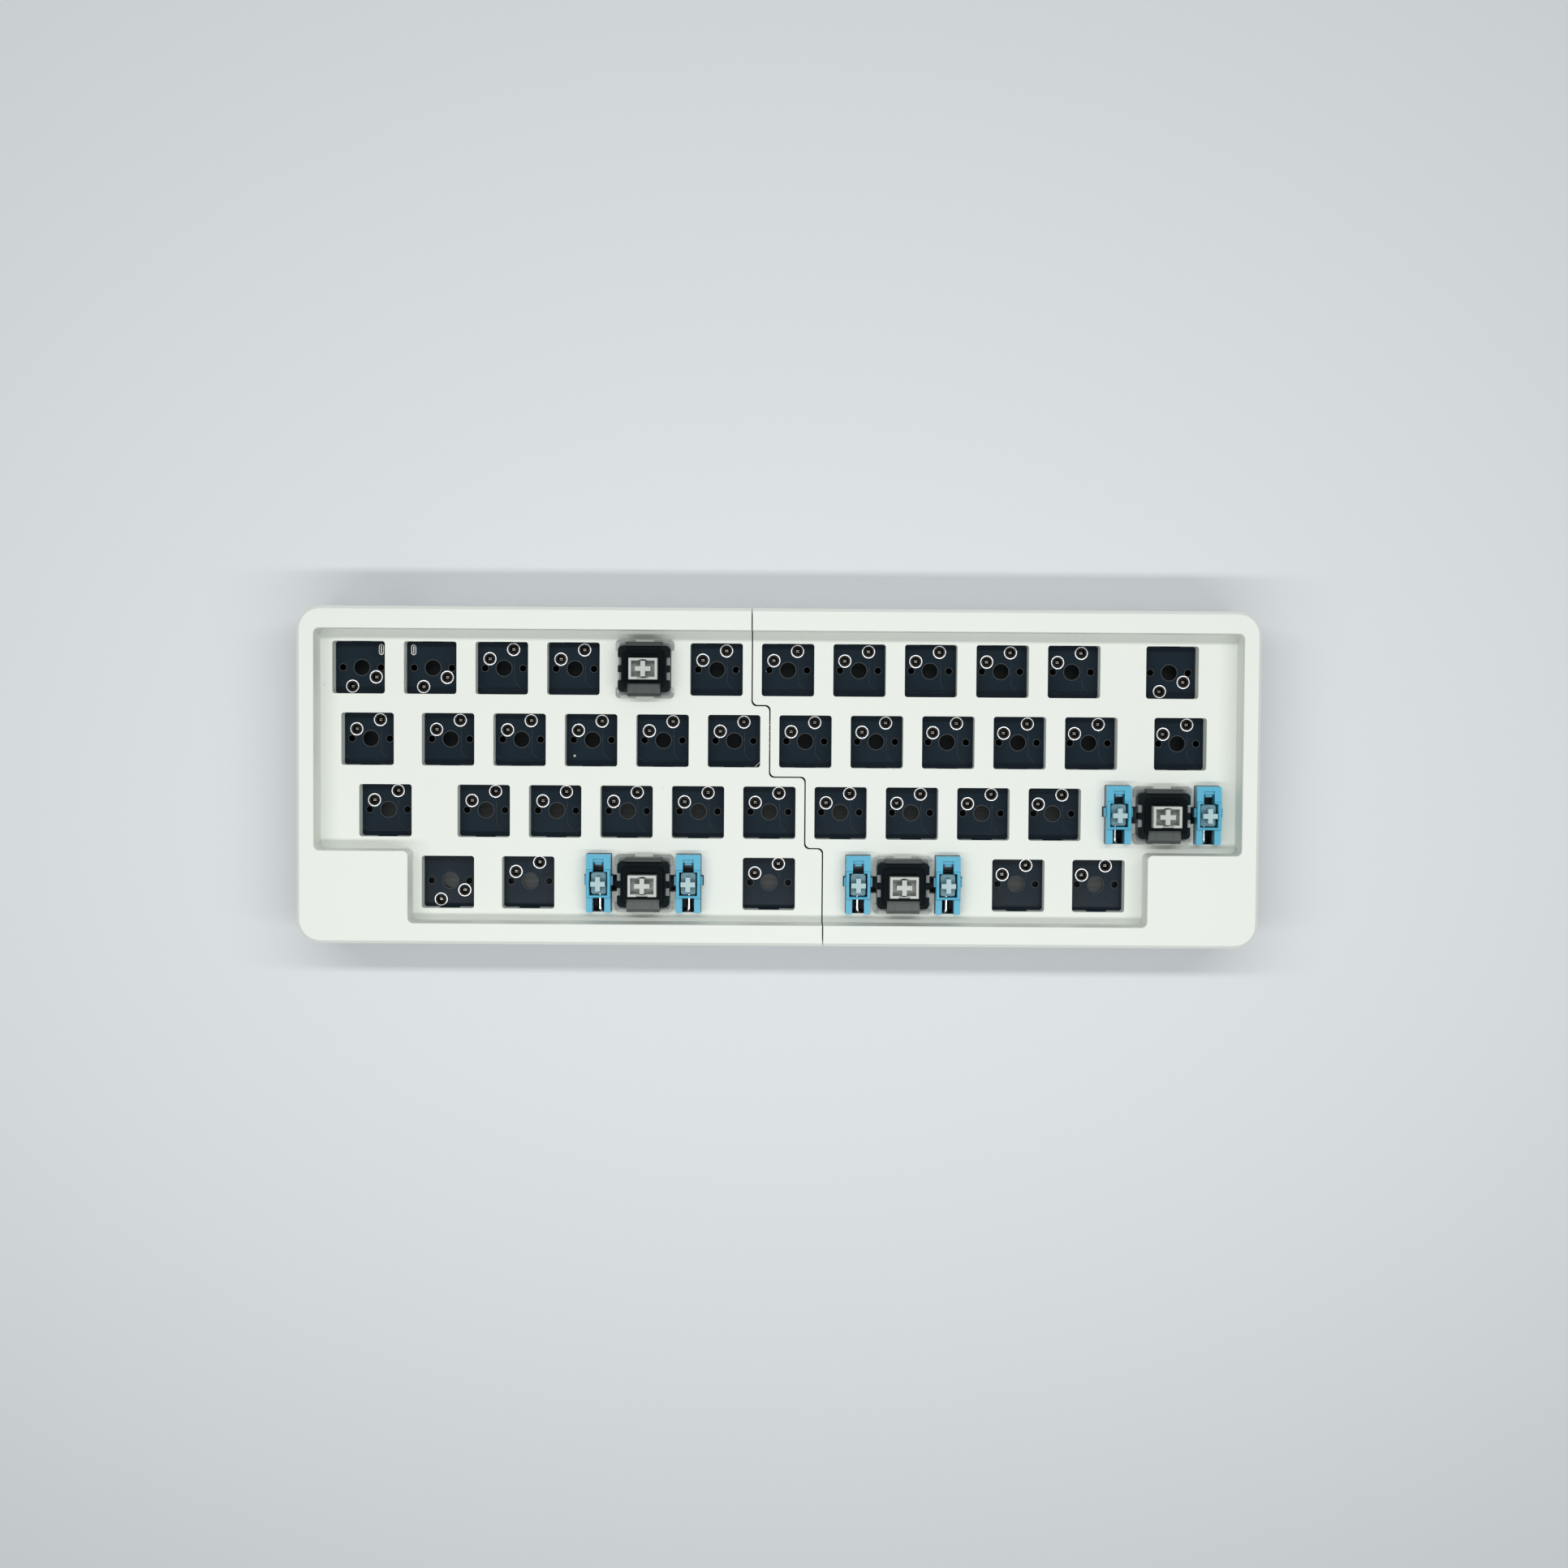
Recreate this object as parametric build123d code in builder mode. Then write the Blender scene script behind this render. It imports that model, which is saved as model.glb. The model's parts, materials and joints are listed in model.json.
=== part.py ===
from build123d import *
from math import atan2, cos, degrees, radians, sin
import os

os.makedirs("parts", exist_ok=True)

# Split keyboard base in two halves, seen with X to the right, Y to the rear and Z up.
# The origin is the middle of the rest plane under the closed pair of halves.

left, right = -1, 1
sides = {"left": left, "right": right}

# Key field: places are key pitches from the field's left edge, rows run from rear to front
key_pitch = 19.05
field_width_share = 12.75
row_total = 4
open_key_shares = {
    left: (
        (0.5, 1.5, 2.5, 3.5, 5.5),
        (0.625, 1.75, 2.75, 3.75, 4.75, 5.75),
        (0.875, 2.25, 3.25, 4.25, 5.25, 6.25),
        (1.75, 2.875, 6.25),
    ),
    right: (
        (6.5, 7.5, 8.5, 9.5, 10.5, 11.875),
        (6.75, 7.75, 8.75, 9.75, 10.75, 12.0),
        (7.25, 8.25, 9.25, 10.25),
        (9.75, 10.875),
    ),
}
fitted_key_shares = {
    left: ((4.5,), (), (), (4.5,)),
    right: ((), (), (11.75,), (8.125,)),
}
stabilized_key_shares = {
    left: ((), (), (), (4.5,)),
    right: ((), (), (11.75,), (8.125,)),
}
turned_key_shares = ((0.5, 1.5, 11.875), (), (), (1.75,))
seam_shares = (6.0, 6.25, 6.75, 7.0)
corner_block_share = 1.25
field_width = field_width_share * key_pitch
field_depth = row_total * key_pitch

# Case outline
bezel_side = 4.6
bezel_rear = 5.9
bezel_front = 5.5
recess_clearance = 0.6
block_clearance = 0.3
case_corner_radius = 6.3
case_edge_chamfer = 0.8
cover_edge_chamfer = 1.0
recess_corner_radius = 1.4
recess_rim_radius = 0.3
seam_gap = 0.36
seam_corner_radius = 1.35
seam_inner_radius = 0.8
case_length = field_width + 2 * (recess_clearance + bezel_side)
case_depth = field_depth + 2 * recess_clearance + bezel_rear + bezel_front
field_y = (bezel_front - bezel_rear) / 2

# Heights, from the rest plane up
foot_proud = 1.8
cover_thickness = 2.4
under_board_room = 4.0
board_thickness = 1.6
plate_thickness = 5.0
bezel_height = 9.3
cover_top = foot_proud + cover_thickness
board_bottom = cover_top + under_board_room
board_top = board_bottom + board_thickness
plate_top = board_top + plate_thickness
case_top = plate_top + bezel_height

# Walls and fits
case_wall = 2.4
seam_wall = 1.6
block_roof = 2.4
fit_clearance = 0.1
board_clearance = 0.3
overrun = 1.0

# Switch opening in the plate
switch_opening = 14.0
switch_opening_radius = 0.75
clip_lip = 1.5
clip_relief_width = 5.6
clip_relief_depth = 1.1

# Circuit board holes
post_hole_radius = 2.05
guide_hole_radius = 0.875
guide_hole_offset = 5.08
pin_hole_radius = 1.5
pin_a_x, pin_a_y = -3.81, 2.54
pin_b_x, pin_b_y = 2.54, 5.08
board_corner_radius = 1.0

# Hot-swap socket
socket_height = 1.85
socket_body_width = 4.7
socket_end_reach = 2.25
collar_radius = 1.45
collar_bore_radius = 0.95
socket_tab_length = 1.3
socket_tab_width = 2.4
socket_tab_thickness = 0.25
contact_prong_width = 0.8
contact_prong_thickness = 0.12
contact_prong_gap = 0.26
contact_base_thickness = 0.25
contact_depth = 0.5
collar_mouth_chamfer = 0.2

# Switch body
housing_below = 13.8
housing_radius = 0.8
housing_floor_gap = 0.1
housing_floor = 0.9
housing_wall = 1.1
flange_width = 15.6
flange_thickness = 1.0
flange_end_notch = 4.9
flange_side_notch = 10.0
flange_radius = 1.2
flange_mark_radius = 1.2
flange_mark_inset = 1.5
flange_mark_depth = 0.15
housing_clip_width = 4.6
housing_clip_depth = 0.4
housing_clip_height = 0.9
center_post_radius = 1.95
center_post_length = 3.3
center_post_floor = 0.6
guide_pin_radius = 0.8
latch_width = 2.0
latch_thickness = 0.9
latch_height = 4.4
latch_spacing = 3.9
upper_width = 13.9
upper_depth = 12.3
upper_height = 5.6
upper_skirt = 3.2
upper_top_width = 10.6
upper_top_depth = 9.4
upper_wall = 1.3
upper_radius = 1.3
upper_roof = 1.3
stem_frame_width = 7.5
stem_frame_depth = 5.6
stem_clearance = 0.15
window_width = 8.7
window_depth = 3.4
window_height = 4.3
window_overhang = 1.15
rear_bar_width = 9.6
rear_bar_depth = 1.1
rear_bar_height = 3.9
rear_bar_overhang = 1.05
switch_pin_width = 1.5
switch_pin_thickness = 0.2
switch_pin_reach = 2.6
leaf_width = 2.4
leaf_top = 0.8
strap_thickness = 0.25
window_rib_width = 0.3
window_rib_height = 0.15
window_rib_spacing = 4.6
window_lip_depth = 0.8
window_lip_drop = 0.5
rear_ridge_width = 9.4
rear_ridge_depth = 0.5
rear_ridge_proud = 0.2

# Switch stem and spring
stem_rise = 10.2
stem_travel = 4.0
stem_frame_wall = 0.65
stem_frame_drop = 0.3
stem_pocket_depth = 3.9
cross_reach = 4.05
cross_arm = 1.2
cap_clearance_radius = 2.5
frame_notch_width = 3.0
frame_notch_depth = 1.5
slider_width = 9.0
slider_depth = 7.6
slider_bottom = 1.4
slider_roof_gap = 0.2
spring_chamber_radius = 2.6
spring_seat = 4.4
pole_radius = 1.15
pole_bottom = -2.4
pole_hole_radius = 1.35
spring_radius = 1.95
spring_wire_radius = 0.16
spring_turns = 8
spring_end_gap = 0.02

# Stabilizer
stabilizer_spacing = 23.876
stabilizer_width = 6.5
stabilizer_front = -7.6
stabilizer_rear = 7.9
stabilizer_rise = 4.6
stabilizer_cut_clearance = 0.12
stabilizer_slot_height = 4.5
stabilizer_notch_width = 2.8
stabilizer_notch_depth = 0.75
stabilizer_notch_y = 0.9
tab_width = 2.4
tab_depth = 0.5
ring_front = -3.6
ring_rear = 3.9
ring_opening_width = 4.7
ring_opening_depth = 6.2
ring_y = 0.15
front_leg_drop = 1.0
rear_block_drop = 0.5
wire_slot_width = 3.2
wire_slot_roof = 3.0
rear_window_width = 2.9
rear_window_depth = 2.8
rear_window_floor = 3.2
rear_pit_length = 1.2
rear_pit_floor = 7.0
rear_ledge_length = 0.9
rear_ledge_drop = 1.2
rear_tab_width = 1.8
rear_tab_drop = 1.7
stabilizer_edge_chamfer = 0.2
peg_radius = 0.75
peg_x = 2.4
peg_y = -6.3
peg_clearance = 0.1
stabilizer_screw_y = 6.6
stabilizer_stem_width = 3.9
stabilizer_stem_depth = 5.75
stabilizer_stem_radius = 0.6
stabilizer_stem_rise = 6.2
stabilizer_cross_height = 3.4
stabilizer_cross_reach = 3.8
stabilizer_cross_arm = 1.25
stabilizer_stem_lift = 0.3
stem_slot_width = 2.1
stem_slot_height = 2.7
stem_slot_end = 2.05
stem_hook_height = 0.4
stem_hook_depth = 2.4
wire_radius = 0.75
wire_axis_y = -8.6
wire_axis_height = 1.5
wire_bend_radius = 2.0
wire_reach = 9.8
wire_tip_height = 1.95
wire_groove_clearance = 0.3
wire_groove_roof = 0.7

# Fasteners
screw_radius = 1.0
screw_head_radius = 1.9
screw_head_height = 1.3
screw_hex_radius = 0.75
screw_hex_depth = 0.7
screw_clearance = 0.05
head_clearance = 0.15
head_inset = 0.1
case_screw_length = 5.0
insert_radius = 1.6
insert_length = 4.0
insert_hole_length = 5.0
pillar_radius = 2.5
case_screw_rear_inset = 3.3
case_screw_front_inset = 3.1
case_screw_end_inset = 9.6
case_screw_seam_inset = 5.5
block_screw_x_inset = 22.6
block_screw_y_inset = 18.4
case_screw_middle_share = {left: 2.95, right: 9.8}
board_screw_length = 5.2
board_screw_head_height = 1.1
board_screw_shares = {
    left: ((), (1.12, 3.12, 5.12), (), (2.5, 5.62)),
    right: ((), (7.12, 9.12, 11.12), (), (9.5, 10.5)),
}

# Cover details
cover_lip_height = 1.8
cover_lip_thickness = 1.2
cover_lip_clearance = 0.15
cover_lip_seam_inset = 4.0
cover_post_radius = 2.0
cover_post_shift = 1.5
cover_post_shares = {
    left: ((), (), (2.0, 4.0), ()),
    right: ((), (), (8.0, 10.0), ()),
}
foot_radius = 5.0
foot_pocket_depth = 0.8
foot_edge_radius = 0.6
foot_end_inset = 12.5
foot_edge_inset = 13.0
foot_seam_inset = 9.0

# Receptacle for the cable at the rear of the left half
port_share = 1.0
port_width = 8.94
port_height = 3.2
port_length = 7.35
port_wall = 0.3
port_recess = 4.2
port_tongue_width = 6.7
port_tongue_thickness = 0.7
port_tongue_length = 5.0
port_back_thickness = 1.2
port_slot_width = 12.5
port_slot_height = 7.0
port_leg_width = 0.5
port_leg_length = 2.0
port_leg_y = 4.8
port_leg_slot_clearance = 0.15

# Parts that link the two halves at the seam
link_row = 1
link_y_shift = 1.2
link_length = 8.9
link_height = 4.0
link_depth = 1.5
link_roof = 0.4
link_proud = 0.1
link_contact_total = 5
link_contact_spacing = 1.6
link_contact_radius = 0.35
link_contact_gap = 0.04
link_tail_thickness = 0.25
link_tail_width = 0.7
link_foot_reach = 2.3
link_foot_room = 0.15
magnet_rows = (0, 3)
magnet_length = 7.0
magnet_thickness = 2.0
magnet_height = 3.6
magnet_y_shift = -3.6

# Chips and diodes under the boards
diode_x, diode_y = 7.6, -5.4
diode_length = 2.7
diode_width = 1.6
diode_height = 1.1
main_chip_shares = {left: 2.75, right: 8.75}
chip_row = 1
chip_y_shift = -5.9
main_chip_size = 7.0
main_chip_height = 1.0
small_chip_length = 3.2
small_chip_width = 2.5
small_chip_height = 0.9


def key_x(share):
    """X of a place given in key pitches from the field's left edge."""
    return (share - field_width_share / 2) * key_pitch


def row_y(row):
    """Y of a row's middle, counted from the rear row."""
    return field_y + (row_total / 2 - row - 1 / 2) * key_pitch


def row_edge_y(row):
    """Y of the rear edge of a row."""
    return field_y + (row_total / 2 - row) * key_pitch


def places(shares_by_row, x=0, y=0):
    """Points beside each key of a table, moved by x and y."""
    return [
        (key_x(share) + x, row_y(row) + y)
        for row, shares in enumerate(shares_by_row)
        for share in shares
    ]


def edge_places(shares_by_row, y=0):
    """Points on the rear edge of each table row, moved by y."""
    return [
        (key_x(share), row_edge_y(row) + y)
        for row, shares in enumerate(shares_by_row)
        for share in shares
    ]


def key_locations(shares_by_row):
    """Location of each key of a table, with the turned keys facing the front."""
    found = []
    for row, shares in enumerate(shares_by_row):
        for share in shares:
            turn = 180 if share in turned_key_shares[row] else 0
            found.append(Location((key_x(share), row_y(row), 0), (0, 0, turn)))
    return found


def all_keys(side):
    """Open and fitted keys of one half, row by row."""
    return [a + b for a, b in zip(open_key_shares[side], fitted_key_shares[side])]


def seam_x(side, row, inset=0):
    """X of one half's edge along the seam, drawn back by inset."""
    return key_x(seam_shares[row]) + side * (seam_gap / 2 + inset)


def seam_corners(side, inset):
    """Corners of one half's stepped edge, from rear to front."""
    shift = side * (seam_gap / 2 + inset)
    corners = []
    for row in range(row_total):
        rear = case_depth if row == 0 else row_edge_y(row) + shift
        front = -case_depth if row == row_total - 1 else row_edge_y(row + 1) + shift
        corners.append((seam_x(side, row, inset), rear))
        corners.append((seam_x(side, row, inset), front))
    return corners


def draw_half_region(side, inset, radius):
    """Draws the face on one side of the seam in the current sketch."""
    far_x = side * case_length
    with BuildLine() as outline:
        stair = FilletPolyline(*seam_corners(side, inset), radius=radius)
        Polyline(stair @ 1, (far_x, -case_depth), (far_x, case_depth), stair @ 0)
    make_face(outline.edges())


def draw_inside(side, wall, seam_inset):
    """Draws one half's outline, drawn back by wall outside and by seam_inset at the seam."""
    draw_half_region(side, seam_inset, seam_inner_radius)
    RectangleRounded(
        case_length - 2 * wall,
        case_depth - 2 * wall,
        case_corner_radius - wall,
        mode=Mode.INTERSECT,
    )


def case_screw_places(side):
    """Rear, front and corner block screws of one half."""
    rear_y = case_depth / 2 - case_screw_rear_inset
    front_y = case_screw_front_inset - case_depth / 2
    middle_x = key_x(case_screw_middle_share[side])
    block_x = case_length / 2 - block_screw_x_inset
    block_y = block_screw_y_inset - case_depth / 2
    return [
        (side * (case_length / 2 - case_screw_end_inset), rear_y),
        (middle_x, rear_y),
        (seam_x(side, 0, case_screw_seam_inset), rear_y),
        (side * block_x, block_y),
        (middle_x, front_y),
        (seam_x(side, row_total - 1, case_screw_seam_inset), front_y),
    ]


def foot_places(side):
    """Four feet under one half."""
    y = case_depth / 2 - foot_edge_inset
    end_x = side * (case_length / 2 - foot_end_inset)
    return [
        (end_x, y),
        (end_x, -y),
        (seam_x(side, 0, foot_seam_inset), y),
        (seam_x(side, row_total - 1, foot_seam_inset), -y),
    ]


def stabilizer_places(shares_by_row, x=0, y=0):
    """Both stabilizer middles beside each key of a table."""
    reach = stabilizer_spacing / 2
    return places(shares_by_row, x - reach, y) + places(shares_by_row, x + reach, y)


def both(table):
    """One table of rows for the two halves together."""
    return [a + b for a, b in zip(table[left], table[right])]


def save(piece, name):
    """Names a finished piece and writes its file."""
    piece.label = name
    export_step(piece, f"parts/{name}.step")


# Case and plate, before they are split at the seam
every_key = [a + b for a, b in zip(all_keys(left), all_keys(right))]
every_stabilizer = both(stabilized_key_shares)
block_inner_x = field_width / 2 - corner_block_share * key_pitch - block_clearance
block_rear_y = row_edge_y(row_total - 1) - recess_clearance
recess_x = field_width / 2 + recess_clearance
recess_rear_y = field_y + field_depth / 2 + recess_clearance
recess_front_y = field_y - field_depth / 2 - recess_clearance
block_x = (case_length / 2 + block_inner_x) / 2
block_y = (block_rear_y - case_depth / 2) / 2
block_width = case_length / 2 - block_inner_x
block_depth = block_rear_y + case_depth / 2
wire_axis_z = board_top + wire_axis_height
link_y = row_y(link_row) + link_y_shift
link_top = plate_top - link_roof
port_x = key_x(port_share)
port_z = board_bottom - port_height / 2
port_mouth_y = case_depth / 2 - port_recess
stabilizer_y = (stabilizer_front + stabilizer_rear) / 2
stabilizer_depth = stabilizer_rear - stabilizer_front

# Outline of the recess above the switch plate, stepped round the two front corner blocks
with BuildSketch() as recess_outline:
    with BuildLine():
        Polyline(
            (-recess_x, recess_rear_y),
            (recess_x, recess_rear_y),
            (recess_x, block_rear_y),
            (block_inner_x, block_rear_y),
            (block_inner_x, recess_front_y),
            (-block_inner_x, recess_front_y),
            (-block_inner_x, block_rear_y),
            (-recess_x, block_rear_y),
            close=True,
        )
    make_face()
    fillet(recess_outline.vertices(), radius=recess_corner_radius)

with BuildPart() as whole_case:
    with BuildSketch(Plane.XY.offset(cover_top)):
        RectangleRounded(case_length, case_depth, case_corner_radius)
    extrude(amount=case_top - cover_top)
    chamfer(whole_case.edges().group_by(Axis.Z)[-1], length=case_edge_chamfer)
    with BuildSketch(Plane.XY.offset(board_top)):
        add(recess_outline.sketch)
    extrude(amount=plate_thickness + bezel_height + overrun, mode=Mode.SUBTRACT)
    rim = whole_case.faces().sort_by(Axis.Z)[-1].inner_wires()[0]
    fillet(rim.edges(), radius=recess_rim_radius)
    # Hollow below the plate, one for each half
    for side in (left, right):
        with BuildSketch(Plane.XY.offset(cover_top)):
            draw_inside(side, case_wall, seam_wall)
        extrude(amount=board_top - cover_top, mode=Mode.SUBTRACT)
    with BuildSketch(Plane.XY.offset(board_top)):
        with Locations((-block_x, block_y), (block_x, block_y)):
            Rectangle(block_width - 2 * case_wall, block_depth - 2 * case_wall)
    extrude(amount=case_top - block_roof - board_top, mode=Mode.SUBTRACT)
    # Pillars for the case screws, those in the corner blocks as tall as the block
    with BuildSketch(Plane.XY.offset(cover_top)):
        with Locations(*case_screw_places(left), *case_screw_places(right)):
            Circle(pillar_radius)
    extrude(amount=board_top - cover_top)
    with BuildSketch(Plane.XY.offset(cover_top)):
        with Locations(case_screw_places(left)[3], case_screw_places(right)[3]):
            Circle(pillar_radius)
    extrude(amount=case_top - block_roof - cover_top)
    with BuildSketch(Plane.XY.offset(cover_top)):
        with Locations(*case_screw_places(left), *case_screw_places(right)):
            Circle(insert_radius)
    extrude(amount=insert_hole_length, mode=Mode.SUBTRACT)
    # Opening for the cable's plug
    with BuildSketch(Plane.XZ.offset(-case_depth / 2 - overrun)):
        with Locations((port_x, port_z)):
            Rectangle(port_slot_width, port_slot_height)
    extrude(amount=port_recess + 2 * overrun, mode=Mode.SUBTRACT)

# Switch plate that fills the recess up to the switches' flanges
with BuildPart() as whole_plate:
    with BuildSketch(Plane.XY.offset(board_top)):
        add(recess_outline.sketch)
    extrude(amount=plate_thickness)
    # Switch openings with their clip reliefs below the lip
    with BuildSketch(Plane.XY.offset(plate_top)):
        with Locations(*places(every_key)):
            RectangleRounded(switch_opening, switch_opening, switch_opening_radius)
        with Locations(*stabilizer_places(every_stabilizer, y=stabilizer_y)):
            Rectangle(
                stabilizer_width + 2 * stabilizer_cut_clearance,
                stabilizer_depth + 2 * stabilizer_cut_clearance,
            )
        with Locations(*places(every_stabilizer)):
            Rectangle(stabilizer_spacing, stabilizer_slot_height)
        with Locations(*places(every_stabilizer, y=stabilizer_notch_y)):
            Rectangle(
                stabilizer_spacing + stabilizer_width + 2 * stabilizer_notch_depth,
                stabilizer_notch_width,
            )
    extrude(amount=-plate_thickness, mode=Mode.SUBTRACT)
    with BuildSketch(Plane.XY.offset(board_top)):
        with Locations(*places(every_key)):
            Rectangle(clip_relief_width, switch_opening + 2 * clip_relief_depth)
    extrude(amount=plate_thickness - clip_lip, mode=Mode.SUBTRACT)
    # Grooves below the plate for the stabilizer wires
    with BuildSketch(Plane.XY.offset(board_top)):
        with Locations(*places(every_stabilizer, y=wire_axis_y)):
            Rectangle(
                stabilizer_spacing + wire_slot_width,
                2 * (wire_radius + wire_groove_clearance),
            )
    extrude(amount=wire_axis_height + wire_radius + wire_groove_roof, mode=Mode.SUBTRACT)
    # Holes for the board screws
    with BuildSketch(Plane.XY.offset(board_top)):
        with Locations(*edge_places(both(board_screw_shares))):
            Circle(screw_radius + screw_clearance)
    extrude(amount=board_screw_length - board_thickness + overrun / 2, mode=Mode.SUBTRACT)
    # Pockets for the link strips in the seam, and the channel for their contact feet
    with BuildSketch(Plane.XY.offset(board_top)):
        with Locations((key_x(seam_shares[link_row]), link_y)):
            Rectangle(2 * link_depth + seam_gap, link_length + 2 * fit_clearance)
    extrude(amount=link_top - board_top, mode=Mode.SUBTRACT)
    with BuildSketch(Plane.XY.offset(board_top)):
        with Locations((key_x(seam_shares[link_row]), link_y)):
            Rectangle(2 * link_foot_reach + seam_gap, link_length + 2 * fit_clearance)
    extrude(amount=link_tail_thickness + link_foot_room, mode=Mode.SUBTRACT)

for name, side in sides.items():
    with BuildPart() as top_case:
        add(whole_case.part)
        with BuildSketch():
            draw_half_region(side, 0, seam_corner_radius)
        extrude(amount=case_top, mode=Mode.INTERSECT)
    save(top_case.part, f"{name}_top_case")
    with BuildPart() as switch_plate:
        add(whole_plate.part)
        with BuildSketch():
            draw_half_region(side, 0, seam_corner_radius)
        extrude(amount=case_top, mode=Mode.INTERSECT)
    save(switch_plate.part, f"{name}_switch_plate")

# Bottom covers
with BuildPart() as whole_cover:
    with BuildSketch(Plane.XY.offset(foot_proud)):
        RectangleRounded(case_length, case_depth, case_corner_radius)
    extrude(amount=cover_thickness)
    chamfer(whole_cover.edges().group_by(Axis.Z)[0], length=cover_edge_chamfer)
    for side in (left, right):
        with BuildSketch(Plane.XY.offset(cover_top)):
            draw_inside(side, case_wall + cover_lip_clearance, cover_lip_seam_inset)
            RectangleRounded(
                case_length - 2 * (case_wall + cover_lip_clearance + cover_lip_thickness),
                case_depth - 2 * (case_wall + cover_lip_clearance + cover_lip_thickness),
                case_corner_radius - case_wall - cover_lip_clearance - cover_lip_thickness,
                mode=Mode.SUBTRACT,
            )
        extrude(amount=cover_lip_height)
        with BuildSketch(Plane.XY.offset(cover_top)):
            with Locations(*edge_places(cover_post_shares[side], y=cover_post_shift)):
                Circle(cover_post_radius)
        extrude(amount=under_board_room - fit_clearance)
        with BuildSketch(Plane.XY.offset(cover_top)):
            with Locations(*case_screw_places(side)):
                Circle(pillar_radius + fit_clearance)
        extrude(amount=cover_lip_height, mode=Mode.SUBTRACT)
        with BuildSketch(Plane.XY.offset(foot_proud)):
            with Locations(*case_screw_places(side)):
                Circle(screw_radius + screw_clearance)
        extrude(amount=cover_thickness, mode=Mode.SUBTRACT)
        with BuildSketch(Plane.XY.offset(foot_proud)):
            with Locations(*case_screw_places(side)):
                Circle(screw_head_radius + head_clearance)
        extrude(amount=head_inset + screw_head_height, mode=Mode.SUBTRACT)
        with BuildSketch(Plane.XY.offset(foot_proud)):
            with Locations(*foot_places(side)):
                Circle(foot_radius)
        extrude(amount=foot_pocket_depth, mode=Mode.SUBTRACT)
    with BuildSketch(Plane.XZ.offset(-case_depth / 2 - overrun)):
        with Locations((port_x, port_z)):
            Rectangle(port_slot_width, port_slot_height)
    extrude(amount=port_recess + 2 * overrun, mode=Mode.SUBTRACT)

for name, side in sides.items():
    with BuildPart() as bottom_cover:
        add(whole_cover.part)
        with BuildSketch():
            draw_half_region(side, 0, seam_corner_radius)
        extrude(amount=case_top, mode=Mode.INTERSECT)
    save(bottom_cover.part, f"{name}_bottom_cover")

# Circuit boards
for name, side in sides.items():
    keys = all_keys(side)
    with BuildPart() as board:
        with BuildSketch(Plane.XY.offset(board_bottom)):
            draw_half_region(side, seam_wall + board_clearance, seam_inner_radius)
            with Locations((0, field_y)):
                RectangleRounded(
                    field_width, field_depth, board_corner_radius, mode=Mode.INTERSECT
                )
            with Locations((side * block_x, block_y)):
                Rectangle(
                    block_width + recess_clearance,
                    block_depth + recess_clearance,
                    mode=Mode.SUBTRACT,
                )
            with Locations(*places(keys)):
                Circle(post_hole_radius, mode=Mode.SUBTRACT)
            with Locations(*places(keys, guide_hole_offset), *places(keys, -guide_hole_offset)):
                Circle(guide_hole_radius, mode=Mode.SUBTRACT)
            with Locations(*key_locations(keys)):
                with Locations((pin_a_x, pin_a_y), (pin_b_x, pin_b_y)):
                    Circle(pin_hole_radius, mode=Mode.SUBTRACT)
            with Locations(
                *edge_places(board_screw_shares[side]),
                *stabilizer_places(stabilized_key_shares[side], y=stabilizer_screw_y),
            ):
                Circle(screw_radius + screw_clearance, mode=Mode.SUBTRACT)
            with Locations(
                *stabilizer_places(stabilized_key_shares[side], x=peg_x, y=peg_y),
                *stabilizer_places(stabilized_key_shares[side], x=-peg_x, y=peg_y),
            ):
                Circle(peg_radius + peg_clearance, mode=Mode.SUBTRACT)
            if side == left:
                with Locations((port_x, row_y(0) + port_leg_y)):
                    with GridLocations(port_width - port_wall, 0, 2, 1):
                        Rectangle(
                            port_leg_width + 2 * port_leg_slot_clearance,
                            port_leg_length + 2 * port_leg_slot_clearance,
                            mode=Mode.SUBTRACT,
                        )
        extrude(amount=board_thickness)
    save(board.part, f"{name}_circuit_board")

# One hot-swap socket and its two contacts, at a key's middle
socket_middle_x = (pin_a_x + pin_b_x) / 2
with BuildPart() as socket:
    with BuildSketch(Plane.XY.offset(board_bottom - socket_height)):
        with Locations((pin_a_x, pin_a_y), (pin_b_x, pin_b_y)):
            Rectangle(2 * socket_end_reach, socket_body_width)
        with Locations((socket_middle_x, (pin_a_y + pin_b_y) / 2)):
            Rectangle(pin_b_x - pin_a_x, socket_body_width)
        Circle(post_hole_radius + fit_clearance, mode=Mode.SUBTRACT)
        with Locations((-guide_hole_offset, 0)):
            Circle(guide_hole_radius + fit_clearance, mode=Mode.SUBTRACT)
    extrude(amount=socket_height)
    with BuildSketch(Plane.XY.offset(board_bottom)):
        with Locations((pin_a_x, pin_a_y), (pin_b_x, pin_b_y)):
            Circle(collar_radius)
    extrude(amount=board_thickness)
    with BuildSketch(Plane.XY.offset(board_bottom - socket_height + contact_depth)):
        with Locations((pin_a_x, pin_a_y), (pin_b_x, pin_b_y)):
            Circle(collar_bore_radius)
    extrude(amount=board_thickness + socket_height, mode=Mode.SUBTRACT)
    mouths = socket.edges().filter_by(GeomType.CIRCLE).group_by(Axis.Z)[-1]
    chamfer(mouths.group_by(SortBy.RADIUS)[0], length=collar_mouth_chamfer)

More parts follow.
